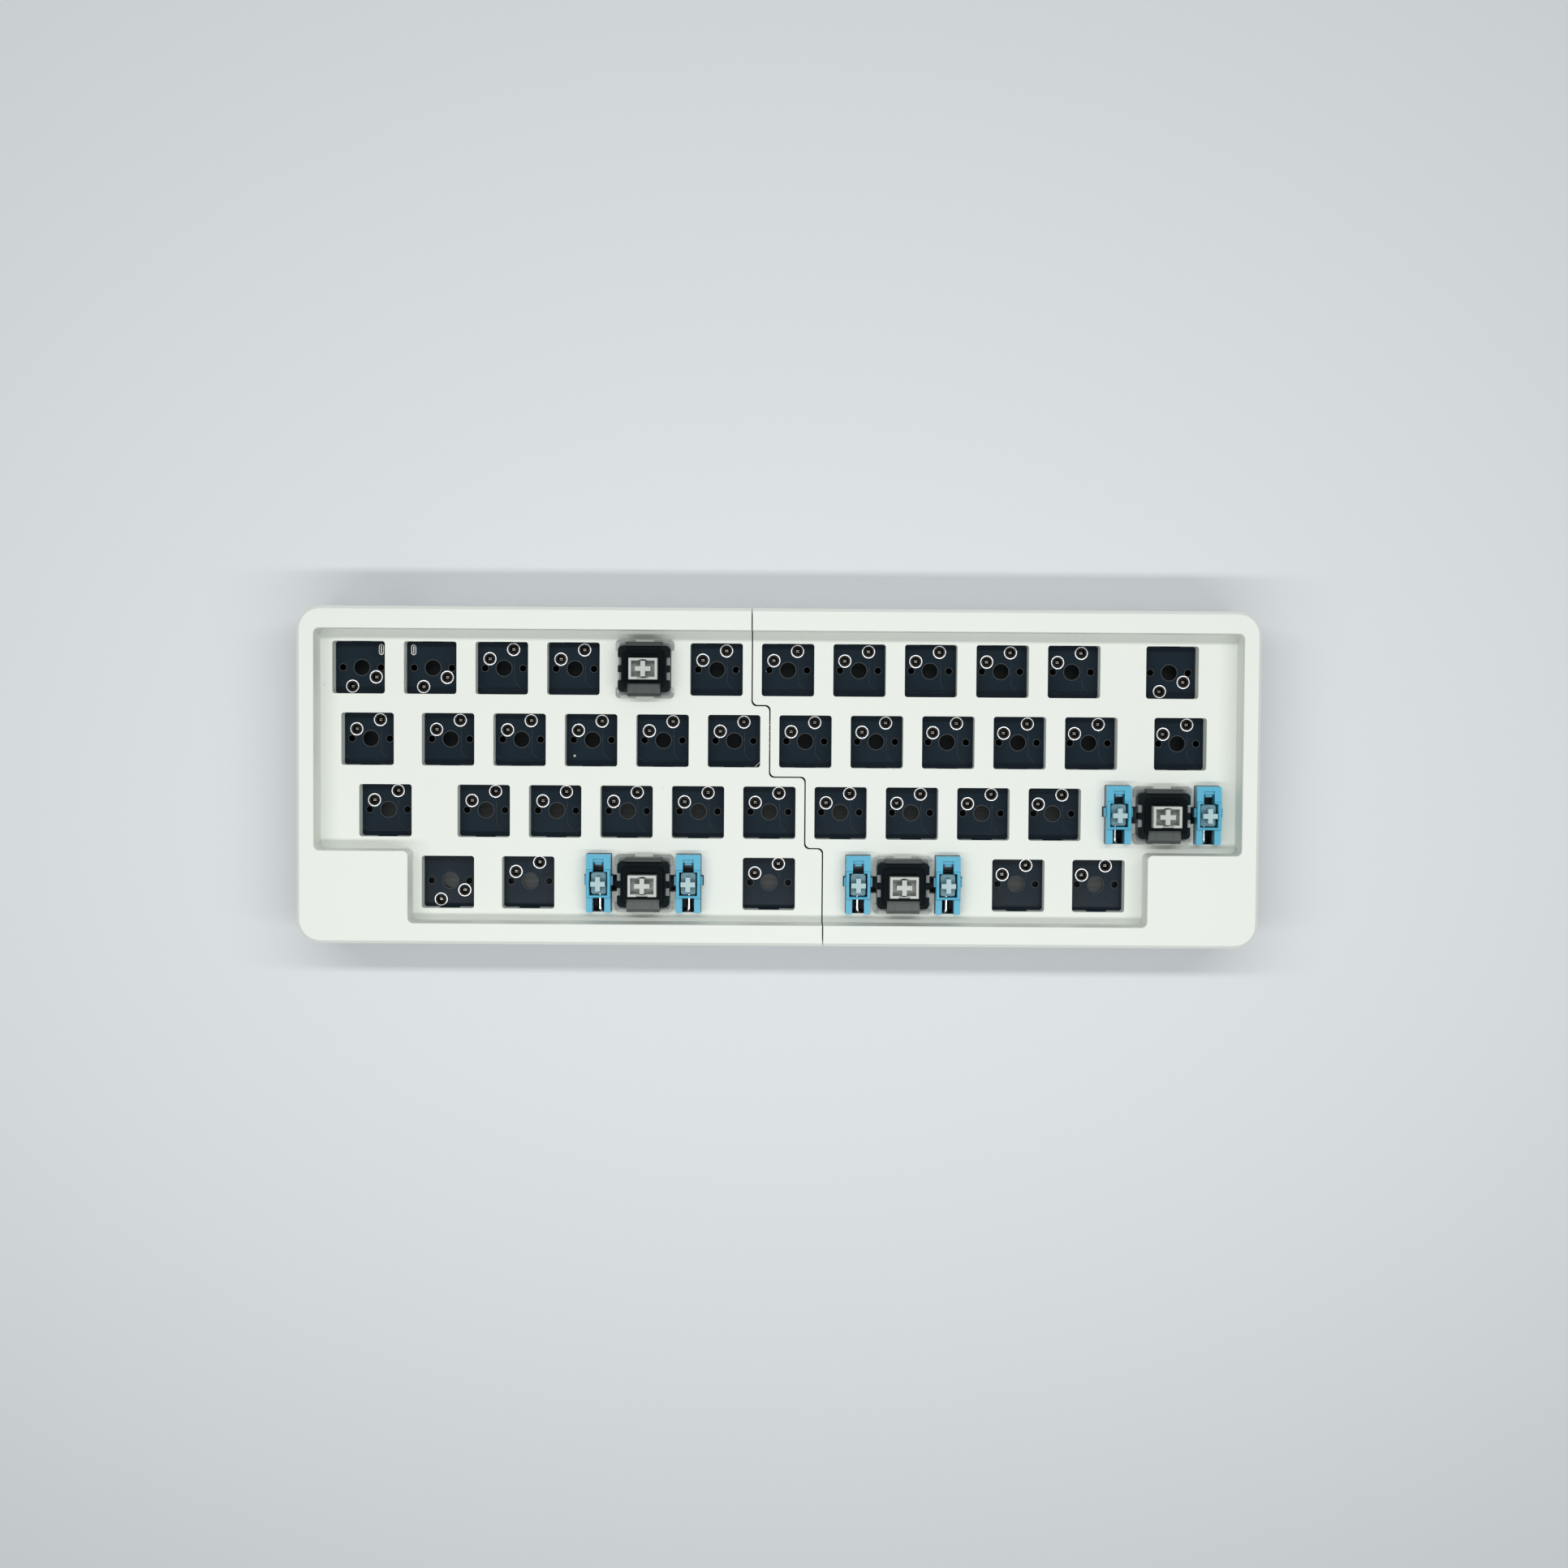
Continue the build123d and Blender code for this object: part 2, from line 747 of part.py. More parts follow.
prong_height = board_thickness + socket_height - contact_depth - contact_prong_width
with BuildPart() as socket_contacts:
    with BuildSketch(Plane.XY.offset(board_bottom - socket_height + contact_depth)):
        with Locations((pin_a_x, pin_a_y), (pin_b_x, pin_b_y)):
            with GridLocations(0, contact_prong_gap + contact_prong_thickness, 1, 2):
                Rectangle(contact_prong_width, contact_prong_thickness)
    extrude(amount=prong_height)
    with BuildSketch(Plane.XY.offset(board_bottom - socket_height + contact_depth)):
        with Locations((pin_a_x, pin_a_y), (pin_b_x, pin_b_y)):
            Circle(collar_bore_radius)
    extrude(amount=contact_base_thickness)

with BuildPart() as socket_tabs:
    with BuildSketch(Plane.XY.offset(board_bottom - socket_tab_thickness)):
        with Locations(
            (pin_a_x - socket_end_reach - socket_tab_length / 2, pin_a_y),
            (pin_b_x + socket_end_reach + socket_tab_length / 2, pin_b_y),
        ):
            Rectangle(socket_tab_length, socket_tab_width)
    extrude(amount=socket_tab_thickness)

for name, side in sides.items():
    with BuildPart() as sockets:
        with Locations(*key_locations(all_keys(side))):
            add(socket.part)
    save(sockets.part, f"{name}_hotswap_sockets")
    with BuildPart() as contacts:
        with Locations(*key_locations(all_keys(side))):
            add(socket_contacts.part)
            add(socket_tabs.part)
    save(contacts.part, f"{name}_socket_contacts")

# Diodes and chips below each board
for name, side in sides.items():
    with BuildPart() as diodes:
        with Locations(*places(all_keys(side), side * diode_x, diode_y)):
            with Locations((0, 0, board_bottom - diode_height / 2)):
                Box(diode_width, diode_length, diode_height)
    save(diodes.part, f"{name}_key_diodes")
    chip_x = key_x(main_chip_shares[side])
    chip_y = row_y(chip_row) + chip_y_shift
    with BuildPart() as chips:
        with Locations((chip_x, chip_y, board_bottom - main_chip_height / 2)):
            Box(main_chip_size, main_chip_size, main_chip_height)
        with Locations((chip_x, chip_y, board_bottom - small_chip_height / 2)):
            with GridLocations(2 * key_pitch, 0, 2, 1):
                Box(small_chip_width, small_chip_length, small_chip_height)
    save(chips.part, f"{name}_controller_chips")

# Switch, built at a key's middle
housing_bottom = board_top + housing_floor_gap
housing_inner = housing_below - 2 * housing_wall
flange_top = plate_top + flange_thickness
with BuildPart() as lower_housing:
    with BuildSketch(Plane.XY.offset(housing_bottom)):
        RectangleRounded(housing_below, housing_below, housing_radius)
    extrude(amount=flange_top - housing_bottom)
    with BuildSketch(Plane.XY.offset(plate_top)):
        RectangleRounded(flange_width, flange_width, flange_radius)
        with GridLocations(0, flange_width, 1, 2):
            Rectangle(flange_end_notch, flange_width - housing_below, mode=Mode.SUBTRACT)
        with GridLocations(flange_width, 0, 2, 1):
            Rectangle(flange_width - housing_below, flange_side_notch, mode=Mode.SUBTRACT)
    extrude(amount=flange_thickness)
    mark_spacing = flange_width - 2 * flange_mark_inset
    with BuildSketch(Plane.XY.offset(flange_top)):
        with GridLocations(mark_spacing, mark_spacing, 2, 2):
            Circle(flange_mark_radius)
    extrude(amount=-flange_mark_depth, mode=Mode.SUBTRACT)
    with BuildSketch(Plane.XY.offset(housing_bottom + housing_floor)):
        Rectangle(housing_inner, housing_inner)
    extrude(amount=flange_top - housing_bottom, mode=Mode.SUBTRACT)
    with BuildSketch(Plane.XY.offset(plate_top - clip_lip - fit_clearance)):
        with GridLocations(0, housing_below + housing_clip_depth, 1, 2):
            Rectangle(housing_clip_width, housing_clip_depth)
    extrude(amount=-housing_clip_height)
    # Latches that hold the upper housing
    with BuildSketch(Plane.XY.offset(plate_top)):
        with GridLocations(housing_below - latch_thickness, latch_spacing, 2, 2):
            Rectangle(latch_thickness, latch_width)
    extrude(amount=latch_height)
    # Middle post with the hole for the stem's pole, and the two guide pins
    with BuildSketch(Plane.XY.offset(housing_bottom)):
        Circle(center_post_radius)
        with GridLocations(2 * guide_hole_offset, 0, 2, 1):
            Circle(guide_pin_radius)
    extrude(amount=-center_post_length)
    with BuildSketch(Plane.XY.offset(housing_bottom - center_post_length + center_post_floor)):
        Circle(pole_hole_radius)
    extrude(amount=center_post_length + housing_floor, mode=Mode.SUBTRACT)
    # Slots for the two contact pins
    with BuildSketch(Plane.XY.offset(housing_bottom)):
        with Locations((pin_a_x, pin_a_y), (pin_b_x, pin_b_y)):
            Rectangle(switch_pin_width, switch_pin_thickness)
    extrude(amount=housing_floor, mode=Mode.SUBTRACT)

upper_bottom = flange_top
upper_top = upper_bottom + upper_height
with BuildPart() as upper_housing:
    with BuildSketch(Plane.XY.offset(upper_bottom)):
        RectangleRounded(upper_width, upper_depth, upper_radius)
    extrude(amount=upper_skirt)
    with BuildSketch(Plane.XY.offset(upper_bottom + upper_skirt)):
        RectangleRounded(upper_width, upper_depth, upper_radius)
    with BuildSketch(Plane.XY.offset(upper_top)):
        RectangleRounded(upper_top_width, upper_top_depth, upper_radius)
    loft()
    with BuildSketch(Plane.XY.offset(upper_bottom)):
        Rectangle(upper_width - 2 * upper_wall, upper_depth - 2 * upper_wall)
    extrude(amount=upper_skirt, mode=Mode.SUBTRACT)
    with BuildSketch(Plane.XY.offset(upper_bottom)):
        Rectangle(slider_width + 4 * stem_clearance, slider_depth + 4 * stem_clearance)
    extrude(amount=upper_height - upper_roof, mode=Mode.SUBTRACT)
    with BuildSketch(Plane.XY.offset(upper_bottom)):
        Rectangle(
            stem_frame_width + 2 * stem_clearance,
            stem_frame_depth + 2 * stem_clearance,
        )
    extrude(amount=upper_height, mode=Mode.SUBTRACT)
    # Low ridge along the rear edge of the top
    with BuildSketch(Plane.XY.offset(upper_top)):
        with Locations((0, (upper_top_depth - rear_ridge_depth) / 2)):
            Rectangle(rear_ridge_width, rear_ridge_depth)
    extrude(amount=rear_ridge_proud)
    # Seats of the light window, the rear bar and the latches
    with BuildSketch(Plane.XY.offset(upper_bottom)):
        with Locations((0, window_depth / 2 - upper_depth / 2 - window_overhang)):
            Rectangle(
                window_width + 2 * fit_clearance,
                window_depth + 2 * fit_clearance,
            )
        with Locations((0, upper_depth / 2 + rear_bar_overhang - rear_bar_depth / 2)):
            Rectangle(
                rear_bar_width + 2 * fit_clearance,
                rear_bar_depth + 2 * fit_clearance,
            )
        with GridLocations(housing_below, latch_spacing, 2, 2):
            Rectangle(2 * latch_thickness + fit_clearance, latch_width + 2 * fit_clearance)
    extrude(amount=upper_height, mode=Mode.SUBTRACT)

with BuildPart() as light_window:
    with BuildSketch(Plane.XY.offset(upper_bottom)):
        with Locations((0, window_depth / 2 - upper_depth / 2 - window_overhang)):
            Rectangle(window_width, window_depth)
    extrude(amount=window_height)
    with BuildSketch(Plane.XY.offset(upper_bottom + window_height)):
        with Locations((0, window_depth / 2 - upper_depth / 2 - window_overhang)):
            with GridLocations(window_rib_spacing, 0, 2, 1):
                Rectangle(window_rib_width, window_depth)
    extrude(amount=window_rib_height)
    window_front = -upper_depth / 2 - window_overhang
    with BuildSketch(Plane.XY.offset(upper_bottom + window_height - window_lip_drop)):
        with Locations((0, window_front + window_lip_depth / 2)):
            Rectangle(window_width, window_lip_depth)
    extrude(amount=window_lip_drop + window_rib_height, mode=Mode.SUBTRACT)
    with BuildSketch(Plane.XY.offset(upper_bottom)):
        with Locations((0, upper_depth / 2 + rear_bar_overhang - rear_bar_depth / 2)):
            Rectangle(rear_bar_width, rear_bar_depth)
    extrude(amount=rear_bar_height)

pin_bottom = housing_bottom - switch_pin_reach
strap_top = housing_bottom + housing_floor + strap_thickness
leaf_a_y = slider_depth / 2 + leaf_width / 4
with BuildPart() as switch_contacts:
    with BuildSketch(Plane.XY.offset(pin_bottom)):
        with Locations((pin_a_x, pin_a_y), (pin_b_x, pin_b_y)):
            Rectangle(switch_pin_width, switch_pin_thickness)
    extrude(amount=strap_top - pin_bottom)
    with BuildSketch(Plane.XY.offset(strap_top - strap_thickness)):
        with Locations((pin_a_x, (pin_a_y + leaf_a_y) / 2)):
            Rectangle(switch_pin_width, leaf_a_y - pin_a_y + switch_pin_thickness)
    extrude(amount=strap_thickness)
    with BuildSketch(Plane.XY.offset(strap_top)):
        with Locations((pin_a_x, leaf_a_y), (pin_b_x, pin_b_y)):
            Rectangle(switch_pin_width, switch_pin_thickness)
    extrude(amount=plate_top + leaf_top - strap_top)

cross_top = plate_top + stem_rise
frame_top = cross_top - stem_frame_drop
pocket_floor = cross_top - stem_pocket_depth
slider_top = upper_top - upper_roof - slider_roof_gap
slider_floor = plate_top + slider_bottom
seat_z = plate_top + spring_seat
with BuildPart() as stem:
    with BuildSketch(Plane.XY.offset(slider_floor)):
        Rectangle(slider_width, slider_depth)
    extrude(amount=slider_top - slider_floor)
    with BuildSketch(Plane.XY.offset(slider_top)):
        Rectangle(stem_frame_width, stem_frame_depth)
    extrude(amount=frame_top - slider_top)
    with BuildSketch(Plane.XY.offset(pocket_floor)):
        Rectangle(
            stem_frame_width - 2 * stem_frame_wall,
            stem_frame_depth - 2 * stem_frame_wall,
        )
        Circle(cap_clearance_radius)
    extrude(amount=stem_pocket_depth, mode=Mode.SUBTRACT)
    with BuildSketch(Plane.XY.offset(frame_top)):
        with Locations((0, (stem_frame_wall - stem_frame_depth) / 2)):
            Rectangle(frame_notch_width, stem_frame_wall)
    extrude(amount=-frame_notch_depth, mode=Mode.SUBTRACT)
    with BuildSketch(Plane.XY.offset(pocket_floor)):
        Rectangle(cross_reach, cross_arm)
        Rectangle(cross_arm, cross_reach)
    extrude(amount=stem_pocket_depth)
    with BuildSketch(Plane.XY.offset(slider_floor)):
        Circle(spring_chamber_radius)
    extrude(amount=seat_z - slider_floor, mode=Mode.SUBTRACT)
    with BuildSketch(Plane.XY.offset(plate_top + pole_bottom)):
        Circle(pole_radius)
    extrude(amount=spring_seat - pole_bottom)

# Coil spring as one unbroken wire of quarter-turn arcs
spring_foot_z = housing_bottom + housing_floor + spring_end_gap + spring_wire_radius
spring_head_z = seat_z - spring_end_gap - spring_wire_radius
spring_rise = (spring_head_z - spring_foot_z) / spring_turns


def spring_point(turn):
    """Point on the spring's middle line after a number of turns."""
    angle = radians(360 * turn)
    height = spring_foot_z + spring_rise * turn
    return (spring_radius * cos(angle), spring_radius * sin(angle), height)


quarters = [quarter / 4 for quarter in range(4 * spring_turns)]
with BuildPart() as spring:
    with BuildLine() as coil:
        for turn in quarters:
            ThreePointArc(
                spring_point(turn), spring_point(turn + 1 / 8), spring_point(turn + 1 / 4)
            )
    with BuildSketch(Plane(origin=coil.line @ 0, z_dir=coil.line % 0)):
        Circle(spring_wire_radius)
    sweep()
spring_steps = [step / 24 for step in range(24 * spring_turns + 1)]
spring_path = [Vector(*spring_point(turn)) for turn in spring_steps]
spring_gap = min(
    (first - second).length - 2 * spring_wire_radius
    for place, first in enumerate(spring_path)
    for second in spring_path[place + 12 :]
)
print(f"spring: least gap to itself {spring_gap:.2f} mm")

for name, side in sides.items():
    fitted = fitted_key_shares[side]
    with BuildPart() as lower_housings:
        with Locations(*places(fitted)):
            add(lower_housing.part)
    save(lower_housings.part, f"{name}_switch_lower_housings")
    with BuildPart() as upper_housings:
        with Locations(*places(fitted)):
            add(upper_housing.part)
    save(upper_housings.part, f"{name}_switch_upper_housings")
    with BuildPart() as light_windows:
        with Locations(*places(fitted)):
            add(light_window.part)
    save(light_windows.part, f"{name}_switch_light_windows")
    with BuildPart() as pins:
        with Locations(*places(fitted)):
            add(switch_contacts.part)
    save(pins.part, f"{name}_switch_contacts")

moving_keys = {
    "upper_left": places(fitted_key_shares[left])[0],
    "lower_left": places(fitted_key_shares[left])[1],
    "upper_right": places(fitted_key_shares[right])[0],
    "lower_right": places(fitted_key_shares[right])[1],
}
for key, place in moving_keys.items():
    with BuildPart() as key_stem:
        with Locations(place):
            add(stem.part)
    save(key_stem.part, f"{key}_switch_stem")
    with BuildPart() as key_spring:
        with Locations(place):
            add(spring.part)
    save(key_spring.part, f"{key}_switch_spring")

# Stabilizer housing, built at the middle of its stem
stabilizer_top = plate_top + stabilizer_rise
ring_wall = (stabilizer_width - ring_opening_width) / 2
with BuildPart() as stabilizer_housing:
    with BuildSketch(Plane.XY.offset(board_top)):
        with Locations((0, stabilizer_y)):
            Rectangle(stabilizer_width, stabilizer_depth)
    extrude(amount=stabilizer_top - front_leg_drop - board_top)
    with BuildSketch(Plane.XY.offset(stabilizer_top - front_leg_drop)):
        with Locations((0, (ring_front + ring_rear) / 2)):
            Rectangle(stabilizer_width, ring_rear - ring_front)
    extrude(amount=front_leg_drop)
    with BuildSketch(Plane.XY.offset(stabilizer_top - front_leg_drop)):
        with Locations((0, (ring_rear + stabilizer_rear) / 2)):
            Rectangle(stabilizer_width, stabilizer_rear - ring_rear)
    extrude(amount=front_leg_drop - rear_block_drop)
    with BuildSketch(Plane.XY.offset(plate_top - clip_lip)):
        with Locations((0, stabilizer_notch_y)):
            Rectangle(stabilizer_width + 2 * tab_depth, tab_width)
    extrude(amount=stabilizer_rise)
    with BuildSketch(Plane.XY.offset(board_top)):
        with Locations((0, ring_y)):
            Rectangle(ring_opening_width, ring_opening_depth)
    extrude(amount=stabilizer_top - board_top, mode=Mode.SUBTRACT)
    # Slot for the wire: open to the top between the legs, roofed by the ring's front wall
    slot_length = ring_y - stabilizer_front
    with BuildSketch(Plane.XY.offset(board_top)):
        with Locations((0, stabilizer_front + slot_length / 2)):
            Rectangle(wire_slot_width, slot_length)
    extrude(amount=stabilizer_top - wire_slot_roof - board_top, mode=Mode.SUBTRACT)
    with BuildSketch(Plane.XY.offset(board_top)):
        with Locations((0, (stabilizer_front + ring_front) / 2)):
            Rectangle(wire_slot_width, ring_front - stabilizer_front)
    extrude(amount=stabilizer_top - board_top, mode=Mode.SUBTRACT)
    # Rear window: a deep pit at the stem, a tab that stands behind it, and a shallow ledge
    pit_front = ring_y + ring_opening_depth / 2
    pit_rear = ring_rear + rear_pit_length
    ledge_rear = ring_rear + rear_window_depth
    ledge_front = ledge_rear - rear_ledge_length
    with BuildSketch(Plane.XY.offset(stabilizer_top - rear_pit_floor)):
        with Locations((0, (pit_front + pit_rear) / 2)):
            Rectangle(rear_window_width, pit_rear - pit_front)
    extrude(amount=rear_pit_floor, mode=Mode.SUBTRACT)
    with BuildSketch(Plane.XY.offset(stabilizer_top - rear_window_floor)):
        with Locations((0, (pit_rear + ledge_front) / 2)):
            Rectangle(rear_window_width, ledge_front - pit_rear)
    extrude(amount=rear_window_floor, mode=Mode.SUBTRACT)
    with BuildSketch(Plane.XY.offset(stabilizer_top - rear_ledge_drop)):
        with Locations((0, (ledge_front + ledge_rear) / 2)):
            Rectangle(rear_window_width, rear_ledge_length)
    extrude(amount=rear_ledge_drop, mode=Mode.SUBTRACT)
    with BuildSketch(Plane.XY.offset(stabilizer_top - rear_window_floor)):
        with Locations((0, (pit_rear + ledge_front) / 2)):
            Rectangle(rear_tab_width, ledge_front - pit_rear)
    extrude(amount=rear_window_floor - rear_tab_drop)
    # Bevelled top edges of the ring
    ring_top = stabilizer_housing.faces().filter_by(Axis.Z).sort_by(Axis.Z)[-1]
    chamfer(ring_top.edges(), length=stabilizer_edge_chamfer)
    # Screw hole below the rear block, and the two pegs in the board
    with BuildSketch(Plane.XY.offset(board_top)):
        with Locations((0, stabilizer_screw_y)):
            Circle(screw_radius + screw_clearance)
    extrude(amount=board_screw_length - board_thickness + overrun / 2, mode=Mode.SUBTRACT)
    with BuildSketch(Plane.XY.offset(board_top)):
        with Locations((-peg_x, peg_y), (peg_x, peg_y)):
            Circle(peg_radius)
    extrude(amount=-board_thickness)

# Stabilizer stem in its dropped position
stem_foot_z = board_top + stabilizer_stem_lift
stabilizer_stem_top = plate_top + stabilizer_stem_rise
stem_front_y = ring_y - stabilizer_stem_depth / 2
with BuildPart() as stabilizer_stem:
    with BuildSketch(Plane.XY.offset(stem_foot_z)):
        with Locations((0, ring_y)):
            RectangleRounded(
                stabilizer_stem_width, stabilizer_stem_depth, stabilizer_stem_radius
            )
    extrude(amount=stabilizer_stem_top - stabilizer_cross_height - stem_foot_z)
    with BuildSketch(Plane.XY.offset(stabilizer_stem_top - stabilizer_cross_height)):
        with Locations((0, ring_y)):
            Rectangle(stabilizer_cross_reach, stabilizer_cross_arm)
            Rectangle(stabilizer_cross_arm, stabilizer_cross_reach)
    extrude(amount=stabilizer_cross_height)
    # Slot that takes the wire's end, with the hook bar that keeps it in
    with BuildSketch(Plane.XY.offset(stem_foot_z)):
        with Locations((0, (stem_front_y + stem_slot_end) / 2)):
            Rectangle(stem_slot_width, stem_slot_end - stem_front_y)
    extrude(amount=stem_slot_height, mode=Mode.SUBTRACT)
    with BuildSketch(Plane.XY.offset(stem_foot_z)):
        with Locations((0, stem_slot_end - stem_hook_depth / 2)):
            Rectangle(stem_slot_width, stem_hook_depth)
    extrude(amount=stem_hook_height)

# Stabilizer wire, built at its key's middle: a bar in front and a leg to each stem
wire_tilt = degrees(atan2(wire_tip_height - wire_axis_height, wire_reach))
wire_plane = Plane(
    origin=(0, wire_axis_y, wire_axis_z), x_dir=(1, 0, 0), z_dir=(0, 0, 1)
).rotated((wire_tilt, 0, 0))
wire_side = stabilizer_spacing / 2
with BuildPart() as stabilizer_wire:
    with BuildLine(wire_plane) as wire_path:
        FilletPolyline(
            (-wire_side, wire_reach),
            (-wire_side, 0),
            (wire_side, 0),
            (wire_side, wire_reach),
            radius=wire_bend_radius,
        )
    with BuildSketch(Plane(origin=wire_path.line @ 0, z_dir=wire_path.line % 0)):
        Circle(wire_radius)
    sweep()

for name, side in sides.items():
    stabilized = stabilized_key_shares[side]
    with BuildPart() as stabilizer_housings:
        with Locations(*stabilizer_places(stabilized)):
            add(stabilizer_housing.part)
    save(stabilizer_housings.part, f"{name}_stabilizer_housings")

stabilized_keys = {
    "lower_left": moving_keys["lower_left"],
    "upper_right": moving_keys["upper_right"],
    "lower_right": moving_keys["lower_right"],
}
for key, (x, y) in stabilized_keys.items():
    with BuildPart() as left_stem:
        with Locations((x - stabilizer_spacing / 2, y)):
            add(stabilizer_stem.part)
    save(left_stem.part, f"{key}_stabilizer_stem_left")
    with BuildPart() as right_stem:
        with Locations((x + stabilizer_spacing / 2, y)):
            add(stabilizer_stem.part)
    save(right_stem.part, f"{key}_stabilizer_stem_right")
    with BuildPart() as key_wire:
        with Locations((x, y)):
            add(stabilizer_wire.part)
    save(key_wire.part, f"{key}_stabilizer_wire")


def make_screw(length, head_height):
    """Pan head screw that stands on its head, with the head's top at the origin."""
    with BuildPart() as screw:
        with BuildSketch():
            Circle(screw_head_radius)
        extrude(amount=head_height)
        with BuildSketch(Plane.XY.offset(head_height)):
            Circle(screw_radius)
        extrude(amount=length)
        with BuildSketch():
            RegularPolygon(screw_hex_radius, 6)
        extrude(amount=screw_hex_depth, mode=Mode.SUBTRACT)
    return screw.part


case_screw = make_screw(case_screw_length, screw_head_height)
board_screw = make_screw(board_screw_length, board_screw_head_height)
with BuildPart() as insert:
    with BuildSketch(Plane.XY.offset(cover_top)):
        Circle(insert_radius)
        Circle(screw_radius + screw_clearance, mode=Mode.SUBTRACT)
    extrude(amount=insert_length)
with BuildPart() as foot:
    with BuildSketch():
        Circle(foot_radius)
    extrude(amount=foot_proud + foot_pocket_depth)
    fillet(foot.edges().group_by(Axis.Z)[0], radius=foot_edge_radius)

for name, side in sides.items():
    with BuildPart() as case_screws:
        with Locations(*[(x, y, foot_proud + head_inset) for x, y in case_screw_places(side)]):
            add(case_screw)
    save(case_screws.part, f"{name}_case_screws")
    with BuildPart() as inserts:
        with Locations(*case_screw_places(side)):
            add(insert.part)
    save(inserts.part, f"{name}_threaded_inserts")
    head_z = board_bottom - board_screw_head_height
    screw_places = edge_places(board_screw_shares[side])
    screw_places += stabilizer_places(stabilized_key_shares[side], y=stabilizer_screw_y)
    with BuildPart() as board_screws:
        with Locations(*[(x, y, head_z) for x, y in screw_places]):
            add(board_screw)
    save(board_screws.part, f"{name}_board_screws")
    with BuildPart() as feet:
        with Locations(*foot_places(side)):
            add(foot.part)
    save(feet.part, f"{name}_rubber_feet")

# Cable receptacle below the left board
port_back_y = port_mouth_y - port_length
port_radius = port_height / 2 - port_wall
with BuildPart() as port_shell:
    with BuildSketch(Plane.XZ.offset(-port_mouth_y)):
        with Locations((port_x, port_z)):
            RectangleRounded(port_width, port_height, port_radius)
            RectangleRounded(
                port_width - 2 * port_wall,
                port_height - 2 * port_wall,
                port_radius - port_wall,
                mode=Mode.SUBTRACT,
            )
    extrude(amount=port_length)
    with BuildSketch(Plane.XY.offset(port_z)):
        with Locations((port_x, row_y(0) + port_leg_y)):
            with GridLocations(port_width - port_wall, 0, 2, 1):
                Rectangle(port_wall, port_leg_length)
    extrude(amount=board_top - port_z)
save(port_shell.part, "left_port_shell")

with BuildPart() as port_tongue:
    with BuildSketch(Plane.XZ.offset(-port_back_y)):
        with Locations((port_x, port_z)):
            RectangleRounded(
                port_width - 2 * port_wall,
                port_height - 2 * port_wall,
                port_radius - port_wall,
            )
    extrude(amount=-port_back_thickness)
    with BuildSketch(Plane.XZ.offset(-port_back_y - port_back_thickness)):
        with Locations((port_x, port_z)):
            Rectangle(port_tongue_width, port_tongue_thickness)
    extrude(amount=-port_tongue_length)
save(port_tongue.part, "left_port_tongue")

# Link strips in the seam, their contacts, and the holding magnets
contact_z = link_top - link_height / 2
for name, side in sides.items():
    face_x = seam_x(side, link_row)
    outer_x = face_x - side * link_proud
    inner_x = face_x + side * link_depth
    pin_tip_x = face_x - side * (
        seam_gap - link_proud - link_contact_gap if side == left else link_proud
    )
    contact_spots = [
        link_y + (spot - (link_contact_total - 1) / 2) * link_contact_spacing
        for spot in range(link_contact_total)
    ]
    tail_x = inner_x - side * link_tail_thickness / 2
    foot_end_x = face_x + side * link_foot_reach
    with BuildPart() as link_contacts:
        for spot in contact_spots:
            with BuildSketch(Plane.YZ.offset(pin_tip_x)):
                with Locations((spot, contact_z)):
                    Circle(link_contact_radius)
            extrude(amount=tail_x - pin_tip_x)
            with Locations((tail_x, spot, (contact_z + board_top) / 2)):
                Box(link_tail_thickness, link_tail_width, contact_z - board_top)
            with Locations(
                ((foot_end_x + tail_x) / 2, spot, board_top + link_tail_thickness / 2)
            ):
                Box(abs(foot_end_x - tail_x), link_tail_width, link_tail_thickness)
    with BuildPart() as link_strip:
        with Locations(((outer_x + inner_x) / 2, link_y, contact_z)):
            Box(abs(inner_x - outer_x), link_length, link_height)
        add(link_contacts.part, mode=Mode.SUBTRACT)
    save(link_strip.part, f"{name}_link_strip")
    save(link_contacts.part, f"{name}_link_contacts")
    with BuildPart() as magnets:
        with Locations(
            *[
                (
                    seam_x(side, row, seam_wall + magnet_thickness / 2),
                    row_y(row) + magnet_y_shift,
                    cover_top + magnet_height / 2,
                )
                for row in magnet_rows
            ]
        ):
            Box(magnet_thickness, magnet_length, magnet_height)
    save(magnets.part, f"{name}_seam_magnets")
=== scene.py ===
# %% [markdown]
# The object is the base of a compact split keyboard: two pale moulded halves that close along
# a stepped seam. Most key places are open sockets over a dark circuit board, and four of them
# hold a switch. Every rigid part comes from the CAD frame, in metres and in its place. This
# lesson gives each part the finish of its real material, adds what is plated and printed on the
# circuit boards, draws the springs, and then sets the desk, the light and the camera.

